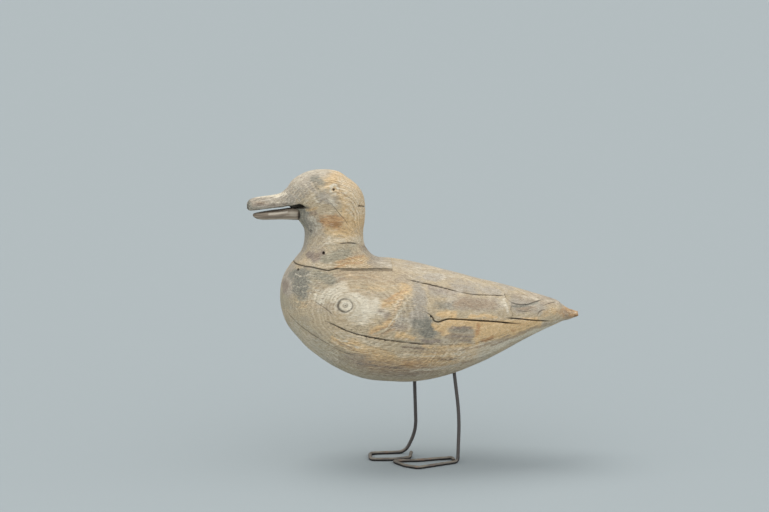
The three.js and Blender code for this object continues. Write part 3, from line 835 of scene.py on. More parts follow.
def body_relief(points, spacing):
    """How far the body's surface stands out from its smooth form, in mm, and its darkness."""
    knot, angle = knot_place(points)
    near_deep, near_dark = splits(points, NEAR_SPLITS, NEAR)
    far_deep, far_dark = splits(points, FAR_SPLITS, FAR)
    hole_deep, hole_dark = holes(points, BODY_HOLES)
    seam_deep, seam_dark = seam(points)
    # The knot's ring is deepest at its lower left, where it is also widest.
    towards = np.cos(angle + 2.5)
    uneven = 0.82 + 0.18 * towards
    half = 0.75 + 0.75 * np.clip(towards, 0, 1) + 0.35 * noise(points, 2.6, 23)
    ring = np.exp(-((knot - 1) * 7 / np.clip(half, 0.6, 2)) ** 2)
    heart = 0.45 * np.exp(-((knot - 0.3) * 7 / 0.5) ** 2)
    dome = 0.35 * np.clip(1 - knot ** 2, 0, 1) + 0.5 * np.exp(-((knot - 1.25) / 0.5) ** 2)
    flake, step = body_flake(points)
    # A painted shadow along the foot of the step where the flake has come away.
    step_dark = smooth(1.3, 0.3, step) * smooth(0.02, 0.1, flake) * smooth(1.0, 0.6, flake)
    rise = (0.42 * noise(points, (46, 20, 16), 11) + 0.2 * noise(points, (20, 8, 7), 12)
            + 0.07 * noise(points, (14, 2.2, 2.0), 13))
    grain = 0.06 * np.sin(body_rings(points) / spacing * 2 * np.pi)
    stub = smooth(160, 166, points[:, 0])
    rough = 0.35 * stub * noise(points, (3, 2.2, 2.2), 14)
    pitted = 0.45 * stub * smooth(0.25, 0.7, noise(points, (3, 2.2, 2.2), 19))
    relief = (rise + grain + rough + dome - 0.75 * ring * uneven - 1.5 * flake
              - near_deep - far_deep - hole_deep - seam_deep)
    dark = np.maximum.reduce([near_dark, far_dark, hole_dark, seam_dark, 0.82 * ring * uneven,
                              0.7 * smooth(0.16, 0.06, knot), heart, 0.85 * step_dark, pitted])
    return relief, dark


def eye_ring(points):
    """1 on the worn ring round each eye hole."""
    x, z, radius = EYE_RING
    total = np.zeros(len(points))
    for side in (NEAR, FAR):
        flat = side_plan(points, side)
        gap = np.hypot(flat[:, 0] - x, flat[:, 1] - z)
        gap[points[:, 1] * side > 0] = FAR_AWAY
        total = np.maximum(total, np.exp(-((gap - radius) / 0.9) ** 2))
    return total


def head_relief(points, spacing):
    """The same as body_relief for the neck block."""
    near_deep, near_dark = splits(points, HEAD_NEAR_SPLITS, NEAR)
    far_deep, far_dark = splits(points, HEAD_FAR_SPLITS, FAR)
    hole_deep, hole_dark = holes(points, HEAD_HOLES)
    eye_deep, eye_dark = holes(points, [EYE_HOLE], (FAR,))
    seam_deep, seam_dark = seam(points)
    bill = smooth(-128, -145, points[:, 0])
    rise = 0.34 * noise(points, (17, 12, 12), 15) + 0.16 * noise(points, (7, 5, 5), 16)
    grain = 0.07 * np.sin(head_rings(points) / spacing * 2 * np.pi) * (1 - bill)
    relief = (rise * (1 - 0.7 * bill) + grain + 0.3 * eye_ring(points)
              - near_deep - far_deep - hole_deep - eye_deep - seam_deep)
    return relief, np.maximum.reduce([near_dark, far_dark, hole_dark, eye_dark, seam_dark])


def near_marks(points, near_lines, far_lines, spots):
    """True at points close enough to a split or a hole to need a finer mesh."""
    close = np.zeros(len(points), bool)
    for lines, side in ((near_lines, NEAR), (far_lines, FAR)):
        flat = side_plan(points, side)
        for line, width, _ in lines:
            here = within(flat, line, 4) & (points[:, 1] * side < PAST_MIDDLE)
            close[here] |= gap_to(flat[here], rounded(line)) < width + 1.4
        for x, z, radius, _ in spots:
            by_hole = np.hypot(flat[:, 0] - x, flat[:, 1] - z) < radius + 2.2
            close |= by_hole & (points[:, 1] * side < 0)
    return close


def near_seam(points):
    """True close to the joint under the neck block."""
    over = points[:, 2] - seat_height(points[:, 0])
    return (np.abs(over + 0.6) < 3.2) & (points[:, 0] < -24)


def near_flake_edge(points):
    """True close to the front edge of the lost flake."""
    height = side_plan(points, NEAR)[:, 1]
    _, step = body_flake(points)
    return (step < 2.5) & (points[:, 1] < 0) & (height > 150) & (height < 180)


def paint_wood(piece, rings, figure, bite, dark, strokes, shift):
    """Writes the channels that the wood materials read: growth rings, checks, splits with their painted
    shade, and tones.
    """
    points = points_of(piece)
    up = normals_of(piece)[:, 2]
    amounts = {tone: np.zeros(len(points)) for tone in TONES}
    # Before the strokes, what faces up is bleached, what faces down is made paler as a painted
    #     fill light on the underside, and faint patches of three tones lie all over.
    patches = 0.14 * smooth(0.1, 0.7, noise(points, (26, 8, 7), 61))
    amounts["cream"] += 0.12 * smooth(0.45, 0.95, up) + patches
    amounts["slate"] += 0.3 * smooth(0.0, 0.6, noise(points, (30, 10, 8), 62))
    amounts["ochre"] += 0.22 * smooth(0.0, 0.6, noise(points, (34, 10, 8), 63))
    # Painted fill light: the downward faces are lightened with cream.
    amounts["cream"] += 0.3 * smooth(-0.1, -0.7, up)
    brush(points, moved(strokes, *shift), FAR, amounts)
    brush(points, strokes, NEAR, amounts)
    # Each tone's channel holds its share and the shares of the tones before it.
    total = np.zeros(len(points))
    for tone in TONES:
        total += amounts[tone]
        write_channel(piece, tone, total)
    for name, values in (("rings", rings), ("figure", figure), ("bite", bite), ("split", dark)):
        write_channel(piece, name, values)


def leg_hole(corners):
    """Where a leg's top end stops, where its hole opens, and the way from the hole's mouth up."""
    top, mouth = Vector(corners[0][:3]), Vector(corners[1][:3])
    return top, mouth, (top - mouth).normalized()


def leg_hole_shade(points, corners):
    """Painted shade round the place where a leg goes into the belly."""
    _, mouth, along = leg_hole(corners)
    gap = np.linalg.norm(np.cross(points - np.array(mouth), np.array(along)), axis=1)
    gap[points[:, 2] > 130] = FAR_AWAY
    return 0.9 * smooth(WIRE_RADIUS + 2.6, WIRE_RADIUS + 1.3, gap)


def make_body(settings):
    """The body block, with its splits, knot, lost flake and seat for the neck."""
    spacing = settings.body_rings / MM
    points, faces = loft(BIRD[BODY_ROWS], settings.body_mesh / MM, BODY_AROUND)
    body = new_piece("carved_body", points, faces)
    points = points_of(body)
    knot, _ = knot_place(points)
    fine_strokes = [(line, 0, 0) for _, _, reach, line in BODY_STROKES if reach < 1.05]
    wanted = near_marks(points, NEAR_SPLITS + fine_strokes, FAR_SPLITS, BODY_HOLES)
    refine(body, wanted | (knot < 1.35) | near_flake_edge(points) | near_seam(points))
    relief, _ = body_relief(points_of(body), spacing)
    push_out(body, relief)
    seat = [(x, z - SEAT_GAP) for x, z in NECK_SEAT]
    seat[-1] = (seat[-1][0] + SEAT_GAP, seat[-1][1])
    cut(body, prism("seat_tool", above_seat(seat)))
    for corners in LEGS:
        top, mouth, along = leg_hole(corners)
        cut(body, bar("drill", mouth - along * 12, top + along * 0.4, WIRE_RADIUS + DRILL_GAP))
        cut(body, bar("worn_mouth", mouth - along * 12, mouth + along * 3.5, WIRE_RADIUS + WORN_GAP))
    points = points_of(body)
    _, dark = body_relief(points, spacing)
    for corners in LEGS:
        dark = np.maximum(dark, leg_hole_shade(points, corners))
    rings, figure, bite = body_rings(points), body_figure(points), body_bite(points)
    paint_wood(body, rings, figure, bite, dark, BODY_STROKES, (14, 4, 0.9))
    return body


def mouth_shade(points):
    """Painted shade in the mouth: on its sawn faces, the wall between its cuts, its corner and rim."""
    x, across, z = points[:, 0], np.abs(points[:, 1]), points[:, 2]
    flat = points[:, [0, 2]]
    behind_gape = x > -134.2
    sawn = (gap_to(flat, MOUTH + MOUTH[:1]) < 0.15) & behind_gape
    wall = (across < MOUTH_WALL / 2 + 0.2) & (z > 276) & (z < 285) & behind_gape & (x < -116)
    cheek = np.interp(x, [-134, -116], [10, 17])
    # The painted shade grows darker further in from the cheek.
    deep = 0.55 + 0.45 * smooth(cheek - 0.6, cheek - 3, across)
    deep = (sawn | wall) * deep * np.interp(x, [-123, -116.6], [1, 0.72])
    corner = 0.4 * smooth(2.4, 0.3, gap_to(flat, [(-118.5, 280.2), (-113.5, 279.8)]))
    rim = 0.45 * smooth(1.1, 0.1, gap_to(flat, MOUTH[1:6]))
    return np.maximum.reduce([deep, corner, rim])


def upper_bill_shade(points):
    """Darkness of the upper bill's tip, in flecks, and a painted shade along its lower edge."""
    x, z = points[:, 0], points[:, 2]
    tip = 0.5 * smooth(-175, -178, x) * smooth(-0.6, 0.3, noise(points, (2.5, 2, 2), 24))
    # Painted shade along the lower edge.
    over_edge = z - np.interp(x, [-177, -165, -134], [275.9, 276.4, 279.6])
    return np.maximum(tip, 0.4 * smooth(1.0, 0.3, over_edge) * (x < -130))


def socket_height_shade(z):
    """How dark the lower bill's end is at a height: 1 in the middle, less at its top and bottom."""
    return 0.4 + 0.6 * smooth(6, 2, np.abs(z - 270))


def make_head(settings):
    """The neck block: neck, head and upper bill, with the mouth and the lower bill's socket."""
    spacing = settings.neck_rings / MM
    points, faces = loft(BIRD[HEAD_ROWS], settings.head_mesh / MM, HEAD_AROUND, belly_share=0.5)
    head = new_piece("carved_head_and_neck", points, faces)
    points = points_of(head)
    above = points[:, 2] > seat_height(points[:, 0]) - 3
    wanted = near_marks(points, HEAD_NEAR_SPLITS, HEAD_FAR_SPLITS, HEAD_HOLES) | near_seam(points)
    refine(head, wanted & above)
    relief, _ = head_relief(points_of(head), spacing)
    push_out(head, relief)
    cut(head, prism("block_tool", above_seat(NECK_SEAT)), "INTERSECT")
    for near, far in ((-ASIDE, -MOUTH_WALL / 2), (MOUTH_WALL / 2, ASIDE)):
        cut(head, prism("mouth_tool", MOUTH, near, far))
    points, faces = loft(LOWER_BILL, 2, 48, grow=SOCKET_GAP)
    cut(head, new_piece("socket_tool", points, faces))
    points = points_of(head)
    _, dark = head_relief(points, spacing)
    rim = gap_to(points[:, [0, 2]], [(-125.4, 263), (-123.6, 265), (-122.8, 271), (-124.4, 277)])
    socket = smooth(0.9, 0.1, rim) * (np.abs(points[:, 1]) < 9.5) * socket_height_shade(points[:, 2])
    dark = np.maximum.reduce([dark, mouth_shade(points), 0.9 * socket, upper_bill_shade(points)])
    bite = 0.7 + 0.28 * smooth(-126, -138, points[:, 0])
    paint_wood(head, head_rings(points), head_figure(points), bite, dark, HEAD_STROKES, (2, 1, 0.85))
    return head


def make_lower_bill(settings):
    """The slat of the lower bill."""
    points, faces = loft(LOWER_BILL, settings.head_mesh / MM, BILL_AROUND)
    bill = new_piece("carved_lower_bill", points, faces)
    points = points_of(bill)
    push_out(bill, 0.14 * noise(points, (16, 3, 2.4), 17) + 0.06 * noise(points, (9, 1.2, 1.2), 18))
    points = points_of(bill)
    x, z = points[:, 0], points[:, 2]
    write_channel(bill, "rings", z * 1.3 + points[:, 1] * 0.35 + 0.5 * noise(points, (30, 4, 4), 19))
    crack = smooth(0.7, 0.2, gap_to(points[:, [0, 2]], [(-170, 270), (-150, 269.4), (-138, 270.4)]))
    # Painted shade along the underside and along the top under the upper bill; the crack and the socket's
    # joint are dark marks.
    underside = smooth(1.0, 0.1, z - np.interp(x, LOWER_BILL[:, 0], LOWER_BILL[:, 1]))
    top = smooth(2.6, 0.8, np.interp(x, LOWER_BILL[:, 2], LOWER_BILL[:, 3]) - z)
    socket = smooth(-125.4, -124.9, x) * socket_height_shade(z)
    dark = np.maximum.reduce([0.5 * crack, 0.45 * underside, 0.9 * socket, 0.4 * top])
    write_channel(bill, "split", dark)
    flat = side_plan(points, NEAR)
    # A painted highlight streak along the upper near face, and a patch of pale bare wood by the socket.
    streak = 0.6 * smooth(1.6, 0.4, gap_to(flat, [(-155, 270.6), (-146, 271.4), (-136, 272.8)]))
    patch = 0.3 * smooth(4.2, 1.0, gap_to(flat, [(-131, 271), (-128, 270)]))
    write_channel(bill, "bare", np.maximum(streak, patch))
    return bill


def wire_path(corners, step):
    """Points along a wire with rounded bends, about step mm apart."""
    at = [np.array(c[:3], float) for c in corners]
    parts = []
    start = at[0]
    for i in range(1, len(at) - 1):
        before, after = at[i - 1] - at[i], at[i + 1] - at[i]
        reach = min(np.linalg.norm(before), np.linalg.norm(after))
        before, after = before / np.linalg.norm(before), after / np.linalg.norm(after)
        turn = math.pi - math.acos(float(np.clip(before @ after, -1, 1)))
        trim = min(corners[i][3] * math.tan(turn / 2), 0.48 * reach)
        into, out = at[i] + before * trim, at[i] + after * trim
        share = np.linspace(0, 1, 25)[:, None]
        bend = (1 - share) ** 2 * into + 2 * share * (1 - share) * at[i] + share ** 2 * out
        parts += [np.array([start]), bend]
        start = out
    line = np.concatenate(parts + [np.array([start, at[-1]])])
    lengths = lengths_to(line)
    return points_at(line, lengths, np.linspace(0, lengths[-1], round(lengths[-1] / step)))


def wire_rings(path, radius):
    """Rings of points round a wire's path, with its two ends filed a little thinner."""
    tangent = np.gradient(path, axis=0)
    tangent /= np.linalg.norm(tangent, axis=1)[:, None]
    turn = np.arange(WIRE_SIDES) / WIRE_SIDES * 2 * np.pi
    across = np.cross(tangent[0], (0, 1, 0))
    rings = []
    for i, (centre, way) in enumerate(zip(path, tangent)):
        across = across - way * (across @ way)
        across /= np.linalg.norm(across)
        other = np.cross(way, across)
        thin = 0.82 if i in (0, len(path) - 1) else 1
        circle = np.cos(turn)[:, None] * across + np.sin(turn)[:, None] * other
        rings.append(centre + radius * thin * circle)
    return np.concatenate(rings)


def make_leg(name, corners, settings):
    """One leg of old wire: pitted, with a filed end, and worn flat where it stands."""
    path = wire_path(corners, 0.9)
    points = wire_rings(path, settings.wire_radius / MM)
    start = np.arange(WIRE_SIDES)
    end = start + (len(path) - 1) * WIRE_SIDES
    sides = skin(len(path), WIRE_SIDES)[:, [0, 3, 2, 1]].tolist()
    leg = new_piece(name, points, sides + [start[::-1], end])
    points = points_of(leg)
    pits = 0.05 * noise(points, 2.2, 51) + 0.03 * noise(points, 0.9, 52)
    push_out(leg, pits * (0.6 + smooth(60, 6, points[:, 2])))
    points = points_of(leg)
    points[:, 2] = np.maximum(points[:, 2], 0)
    move_points(leg, points)
    up = normals_of(leg)[:, 2]
    # Upward faces get the pale scuffs as a painted highlight, and downward faces near the floor get a
    # painted shade.
    write_channel(leg, "top", smooth(0.1, 0.8, up))
    write_channel(leg, "under", smooth(0.35, -0.25, up) * smooth(9, 4, points[:, 2]))
    return leg


def add_node(tree, kind, *values, output=None, stops=(), **settings):
    """Adds a node with its settings and fills its sockets in order: a socket is linked, a hex code
    set as a colour, and None left as it is. Stops shape a ramp, each a place and its brightness.
    Gives the output that is asked for, or else the node's first."""
    node = tree.nodes.new("ShaderNode" + kind)
    for name, value in settings.items():
        setattr(node, name, value)
    if stops:
        marks = node.color_ramp.elements
        marks.remove(marks[-1])
        for i, (place, level) in enumerate(stops):
            mark = marks.new(place) if i else marks[0]
            mark.position = place
            mark.color = (level, level, level, 1)
    for socket, value in zip([s for s in node.inputs if s.enabled], values):
        if isinstance(value, bpy.types.NodeSocket):
            tree.links.new(value, socket)
        elif isinstance(value, str):
            socket.default_value = (*srgb(value), 1)
        elif value is not None:
            socket.default_value = value
    return node.outputs[output] if output else next(s for s in node.outputs if s.enabled)


def new_material(name, specular, roughness=0.5):
    """A node material with its shader, ready to be filled in."""
    material = bpy.data.materials.new(name)
    material.use_nodes = True
    tree = material.node_tree
    tree.nodes.clear()
    shader = tree.nodes.new("ShaderNodeBsdfPrincipled")
    shader.inputs["Roughness"].default_value = roughness
    shader.inputs["Specular IOR Level"].default_value = specular
    output = tree.nodes.new("ShaderNodeOutputMaterial")
    tree.links.new(shader.outputs["BSDF"], output.inputs["Surface"])
    return material, tree, shader


def flecks(tree, size, detail=3.0, roughness=0.55, curl=0.0):
    """Random light and dark, from 0 to 1, in flecks of about size mm along, across and up the piece."""
    place = add_node(tree, "TexCoord", output="Object")
    scale = [1 / (MM * s) for s in size]
    stretched = add_node(tree, "Mapping", place, None, None, scale)
    return add_node(tree, "TexNoise", stretched, 1.0, detail, roughness, None, curl)


def weathered_pine(name, spacing, pale, deep):
    """Bare pine, sawn and whittled, then long weathered. Rain has worn the soft early wood back
    between the harder late wood, so the eye sees matt wood in pale and dark threads along the grain,
    with tones that give way to one another in flecks. Spacing is that of its growth rings, in mm."""
    material, tree, shader = new_material(name, specular=0.3, roughness=0.86)
    node = partial(add_node, tree)
    rings, figure, bite, split = (
        node("Attribute", attribute_name=channel, output="Fac")
        for channel in ("rings", "figure", "bite", "split"))
    # Pine fibres are about 0.03 mm wide, too fine to show, so the threads are drawn 1 mm wide.
    fibre = flecks(tree, (24, 0.9, 0.8), 5, 0.6)
    short = flecks(tree, (5, 1.1, 1.0), 4, 0.65)
    threads = node("ValToRGB", fibre, stops=[(0.36, 0.0), (0.64, 1.0)])
    short_threads = node("ValToRGB", short, stops=[(0.34, 0.0), (0.66, 1.0)])
    threads = node("Math", short_threads, 0.8, threads, operation="MULTIPLY_ADD")
    # The growth rings, with finer bends than their channel carries.
    bent = node("Math", flecks(tree, (14, 4, 4)), 2.4, rings, operation="MULTIPLY_ADD")
    ring = node("Math", bent, spacing, operation="DIVIDE")
    layers = node("TexNoise", ring, 1.0, 3.0, noise_dimensions="1D")
    late = node("ValToRGB", layers, stops=[(0.34, 0.0), (0.66, 1.0)])
    late = node("Math", late, 0.35, operation="MULTIPLY")
    grain = node("Math", threads, 0.36, late, operation="MULTIPLY_ADD")
    # Each tone takes what its channel covers, with an edge broken up by flecks of 7 by 2 mm.
    edge = node("Math", flecks(tree, (7, 2.4, 2.2), 6, 0.68), 1.9, -0.45, operation="MULTIPLY_ADD")
    colour = "#000000"
    covered = 0.0
    for tone, (early, hard) in TONES.items():
        amount = node("Attribute", attribute_name=tone, output="Fac")
        over = node("Math", amount, edge, operation="SUBTRACT")
        reached = node("Math", over, 1.5, 0.5, operation="MULTIPLY_ADD", use_clamp=True)
        share = node("Math", reached, covered, operation="SUBTRACT")
        wood = node("Mix", grain, early, hard, data_type="RGBA")
        colour = node("Mix", share, colour, wood, data_type="RGBA", blend_type="ADD")
        covered = reached
    bare = node("Math", 1.0, covered, operation="SUBTRACT")
    wood = node("Mix", grain, pale, deep, data_type="RGBA")
    colour = node("Mix", bare, colour, wood, data_type="RGBA", blend_type="ADD")
    # Checks, pits and lifted scales darken and lighten the wood where weather has bitten it. Fine
    # checks are about 0.1 mm wide, too fine to show, so they are drawn 0.5 mm wide.
    checks = node("ValToRGB", flecks(tree, (9, 0.5, 0.5), 3, 0.6), stops=[(0.3, 0.5), (0.44, 1.0)])
    pits = node("ValToRGB", flecks(tree, (1.8, 1.3, 1.3), 3, 0.6),
                stops=[(0.3, 0.58), (0.4, 1.0), (0.62, 1.0), (0.72, 1.17)])
    scales = node("ValToRGB", flecks(tree, (4.5, 1.5, 1.4), 3, 0.7),
                  stops=[(0.3, 0.6), (0.45, 1.0), (0.56, 1.0), (0.7, 1.25)])
    for marks in (checks, pits, scales):
        colour = node("Mix", bite, colour, marks, data_type="RGBA", blend_type="MULTIPLY")
    torn = node("ValToRGB", short, stops=[(0.34, 1.2), (0.5, 1.0), (0.66, 0.7)])
    worst = node("Math", bite, 2.2, -1.25, operation="MULTIPLY_ADD", use_clamp=True)
    colour = node("Mix", worst, colour, torn, data_type="RGBA", blend_type="MULTIPLY")
    # The dark lines of late wood, one to a ring, that show in places.
    turn = node("Math", ring, operation="FRACT")
    line = node("ValToRGB", turn,
                stops=[(0.0, 0.8), (0.1, 1.0), (0.24, 0.25), (0.5, 0.0), (0.8, 0.0), (1.0, 0.8)])
    places = node("ValToRGB", flecks(tree, (18, 6, 6)), stops=[(0.36, 0.2), (0.62, 1.0)])
    shown = node("Math", line, places, operation="MULTIPLY")
    shown = node("Math", shown, figure, operation="MULTIPLY", use_clamp=True)
    darker = node("Mix", 1.0, colour, "#ac9778", data_type="RGBA", blend_type="MULTIPLY")
    colour = node("Mix", shown, colour, darker, data_type="RGBA")
    # Slivers that stand up and are bleached, and nicks that hold dirt.
    raised = node("ValToRGB", flecks(tree, (6, 1.1, 1.0), 2, 0.6, 1.0), stops=[(0.58, 0.0), (0.7, 0.6)])
    bleached = node("Mix", 0.5, colour, "#ece5d5", data_type="RGBA")
    colour = node("Mix", raised, colour, bleached, data_type="RGBA")
    nicks = node("ValToRGB", flecks(tree, (3.6, 1.0, 1.0), 2, 0.6, 1.4), stops=[(0.3, 0.65), (0.42, 0.0)])
    darkened = node("Mix", 1.0, colour, "#8c8070", data_type="RGBA", blend_type="MULTIPLY")
    colour = node("Mix", nicks, colour, darkened, data_type="RGBA")
    # The split channel darkens to near black: splits, holes, joints and the knot, and painted shade in
    # the mouth, under the bill, at the flake's step and round the legs.
    depth = node("Math", split, 0.95, operation="MULTIPLY", use_clamp=True)
    colour = node("Mix", depth, colour, "#1c150f", data_type="RGBA")
    tree.links.new(colour, shader.inputs["Base Color"])
    # The relief of the threads, checks and pits, about 0.35 mm deep.
    low = node("Math", checks, 0.8, operation="MULTIPLY")
    height = node("Math", grain, -0.8, low, operation="MULTIPLY_ADD")
    height = node("Math", pits, 0.6, height, operation="MULTIPLY_ADD")
    relief = node("Bump", 0.9, 0.35 * MM, None, height)
    tree.links.new(relief, shader.inputs["Normal"])
    return material


def whittled_cedar(pale, deep):
    """Split cedar lath, whittled thin and weathered, so the eye sees matt grey-brown wood with pale
    and dark grain that runs lengthwise, a bare patch, a pale streak that is a painted highlight,
    and painted shade along its top and underside."""
    material, tree, shader = new_material("whittled_cedar_lath", specular=0.3, roughness=0.75)
    node = partial(add_node, tree)
    rings, bare, split = (
        node("Attribute", attribute_name=channel, output="Fac") for channel in ("rings", "bare", "split"))
    # The growth rings are 2.6 mm apart. Cedar fibres are about 0.03 mm wide, too fine to show, so they
    # are drawn 0.7 mm wide.
    ring = node("Math", rings, 2.6, operation="DIVIDE")
    layers = node("TexNoise", ring, 1.0, 2.0, noise_dimensions="1D")
    fibre = flecks(tree, (22, 0.7, 0.7), 4)
    band = node("ValToRGB", layers, stops=[(0.36, 0.0), (0.64, 1.0)])
    threads = node("ValToRGB", fibre, stops=[(0.4, 0.0), (0.62, 0.7)])
    stains = node("ValToRGB", flecks(tree, (9, 3, 3)), stops=[(0.52, 0.0), (0.74, 0.6)])
    depth = node("Math", split, 0.9, operation="MULTIPLY", use_clamp=True)
    colour = node("Mix", band, pale, deep, data_type="RGBA")
    # Threads and stains, then the painted highlight and bare patch, then the dark marks and painted
    # shade.
    layers_over = ((threads, "#857868"), (stains, "#65594e"), (bare, "#d8d0c0"), (depth, "#241c16"))
    for share, shade in layers_over:
        colour = node("Mix", share, colour, shade, data_type="RGBA")
    tree.links.new(colour, shader.inputs["Base Color"])
    tree.links.new(node("Bump", 0.6, 0.2 * MM, None, fibre), shader.inputs["Normal"])
    return material


def old_wire(dark, pale):
    """Drawn iron wire, long out of doors. The eye sees dull, dark brown-grey scale, with pale scuffed
    metal on the feet, kept to their upper faces as a painted highlight, a little rust low down, and a
    near black painted shade underneath."""
    material, tree, shader = new_material("old_drawn_iron_wire", specular=0.35)
    node = partial(add_node, tree)
    top, under = (node("Attribute", attribute_name=channel, output="Fac") for channel in ("top", "under"))
    # The scale's grit is well under 0.1 mm, too fine to show, so it is drawn 1.6 mm wide.
    scale = flecks(tree, (1.6, 1.6, 1.6))
    place = node("SeparateXYZ", node("TexCoord", output="Object"), output="Z")
    share = node("Math", place, RUST_TOP, operation="DIVIDE")
    low = node("ValToRGB", share, stops=[(0.0, 1.0), (0.4, 0.5), (1.0, 0.0)])
    rusty = node("ValToRGB", flecks(tree, (7, 7, 7), 4), stops=[(0.55, 0.0), (0.66, 0.5)])
    rusty = node("Math", rusty, low, operation="MULTIPLY")
    worn = node("ValToRGB", flecks(tree, (12, 12, 12)), stops=[(0.35, 0.3), (0.65, 1.0)])
    worn = node("Math", worn, low, operation="MULTIPLY")
    # The scuffs are kept to upward faces: a painted highlight on the tops of the feet.
    worn = node("Math", worn, top, operation="MULTIPLY")
    # Painted shade: the downward faces near the floor go near black.
    darkened = node("Math", under, 0.9, operation="MULTIPLY")
    colour = node("Mix", scale, dark, pale, data_type="RGBA")
    for share, shade in ((worn, "#8f897c"), (rusty, "#86695a"), (darkened, "#171412")):
        colour = node("Mix", share, colour, shade, data_type="RGBA")
    metal = node("Math", rusty, -0.2, 0.25, operation="MULTIPLY_ADD", use_clamp=True)
    rough = node("Math", scale, 0.2, 0.4, operation="MULTIPLY_ADD", use_clamp=True)
    tree.links.new(colour, shader.inputs["Base Color"])
    tree.links.new(metal, shader.inputs["Metallic"])
    tree.links.new(rough, shader.inputs["Roughness"])
    tree.links.new(node("Bump", 0.5, 0.1 * MM, None, scale), shader.inputs["Normal"])
    return material


def finish_piece(piece, material, node):
    """Gives a piece its material and its place in the frame."""
    piece.data.materials.clear()
    piece.data.materials.append(material)
    piece.data.shade_smooth()
    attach(piece, ROOT)
    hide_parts(node)


class DecoySettings(bpy.types.PropertyGroup):
    """The mesh, growth rings and colours of the wood, and the leg wire."""

    body_mesh: FloatProperty(
        name="Body mesh", description="Distance between points on the body",
        default=1.7 * MM, unit="LENGTH")
    head_mesh: FloatProperty(
        name="Head mesh", description="Distance between points on the neck block",
        default=0.85 * MM, unit="LENGTH")
    body_rings: FloatProperty(
        name="Body rings", description="Growth ring spacing of the body block",
        default=3.2 * MM, unit="LENGTH")
    neck_rings: FloatProperty(
        name="Neck rings", description="Growth ring spacing of the neck block",
        default=2.6 * MM, unit="LENGTH")
    wire_radius: FloatProperty(
        name="Wire radius", description="Half the thickness of the leg wire",
        default=WIRE_RADIUS * MM, unit="LENGTH")
    body_pale: FloatVectorProperty(
        name="Body, pale", description="Early wood of the body block",
        default=srgb("#c9bca2"), subtype="COLOR")
    body_deep: FloatVectorProperty(
        name="Body, deep", description="Late wood of the body block",
        default=srgb("#a29277"), subtype="COLOR")
    neck_pale: FloatVectorProperty(
        name="Neck, pale", description="Early wood of the neck block",
        default=srgb("#cdc0a6"), subtype="COLOR")
    neck_deep: FloatVectorProperty(
        name="Neck, deep", description="Late wood of the neck block",
        default=srgb("#a7967b"), subtype="COLOR")
    bill_pale: FloatVectorProperty(
        name="Lower bill, pale", description="Early wood of the lower bill",
        default=srgb("#beb2a1"), subtype="COLOR")
    bill_deep: FloatVectorProperty(
        name="Lower bill, deep", description="Late wood of the lower bill",
        default=srgb("#7d7165"), subtype="COLOR")
    wire_dark: FloatVectorProperty(
        name="Wire, dark", description="Darker scale on the leg wire",
        default=srgb("#3b373d"), subtype="COLOR")
    wire_pale: FloatVectorProperty(
        name="Wire, pale", description="Paler scale on the leg wire",
        default=srgb("#595650"), subtype="COLOR")


class StageSettings(bpy.types.PropertyGroup):
    """The floor's colour, the strengths of the lights and the camera's lens."""

    floor_colour: FloatVectorProperty(
        name="Floor", description="Colour of the floor",
        default=srgb("#969fa3"), subtype="COLOR")
    front_light: FloatProperty(
        name="Front light", description="Strength of the wide light from the front", default=3.1)
    overhead_light: FloatProperty(
        name="Overhead light", description="Strength of the light from above and behind", default=1.3)
    room_light: FloatProperty(
        name="Room light", description="Strength of the even light from all round", default=0.45)
    lens: FloatProperty(
        name="Lens", description="Focal length of the camera",
        default=105.0, unit="CAMERA")


class DECOY_OT_body(bpy.types.Operator):
    """Carve and weather the body"""

    bl_idname = "decoy.body"
    bl_label = "Carve the body"

    def execute(self, context):
        settings = context.scene.decoy
        body = make_body(settings)
        pale, deep = (*settings.body_pale, 1), (*settings.body_deep, 1)
        material = weathered_pine("weathered_pine_body", settings.body_rings / MM, pale, deep)
        finish_piece(body, material, "body")
        return {"FINISHED"}


class DECOY_OT_head(bpy.types.Operator):
    """Carve and weather the neck block"""

    bl_idname = "decoy.head"
    bl_label = "Carve the head and neck"

    def execute(self, context):
        settings = context.scene.decoy
        head = make_head(settings)
        pale, deep = (*settings.neck_pale, 1), (*settings.neck_deep, 1)
        material = weathered_pine("weathered_pine_neck", settings.neck_rings / MM, pale, deep)
        finish_piece(head, material, "head_and_neck")
        return {"FINISHED"}


class DECOY_OT_lower_bill(bpy.types.Operator):
    """Whittle the lower bill"""

    bl_idname = "decoy.lower_bill"
    bl_label = "Fit the lower bill"

    def execute(self, context):
        settings = context.scene.decoy
        bill = make_lower_bill(settings)
        material = whittled_cedar((*settings.bill_pale, 1), (*settings.bill_deep, 1))
        finish_piece(bill, material, "lower_bill")
        return {"FINISHED"}


class DECOY_OT_legs(bpy.types.Operator):
    """Bend both wire legs"""

    bl_idname = "decoy.legs"
    bl_label = "Bend the legs"

    def execute(self, context):
        settings = context.scene.decoy
        material = old_wire((*settings.wire_dark, 1), (*settings.wire_pale, 1))
        far = make_leg("far_wire_leg", FAR_LEG, settings)
        finish_piece(far, material, "far_leg")
        near = make_leg("near_wire_leg", NEAR_LEG, settings)
        finish_piece(near, material, "near_leg")
        return {"FINISHED"}


def soft_light(name, turn, height, spread, strength, colour):
    """An even, far light: turn is its way round from the front to the left, height its angle above
    the floor, spread the angle that it fills, all in degrees."""
    data = bpy.data.lights.new(name, "SUN")
    data.energy = strength
    data.angle = math.radians(spread)
    data.color = srgb(colour)
    lamp = new_object(name, data)
    turn, height = math.radians(turn), math.radians(height)
    level = math.cos(height)
    towards = Vector((math.sin(turn) * level, math.cos(turn) * level, -math.sin(height)))
    lamp.rotation_mode = "QUATERNION"
    lamp.rotation_quaternion = towards.to_track_quat("-Z", "Y")
    lamp.location = towards * -LAMP_DISTANCE


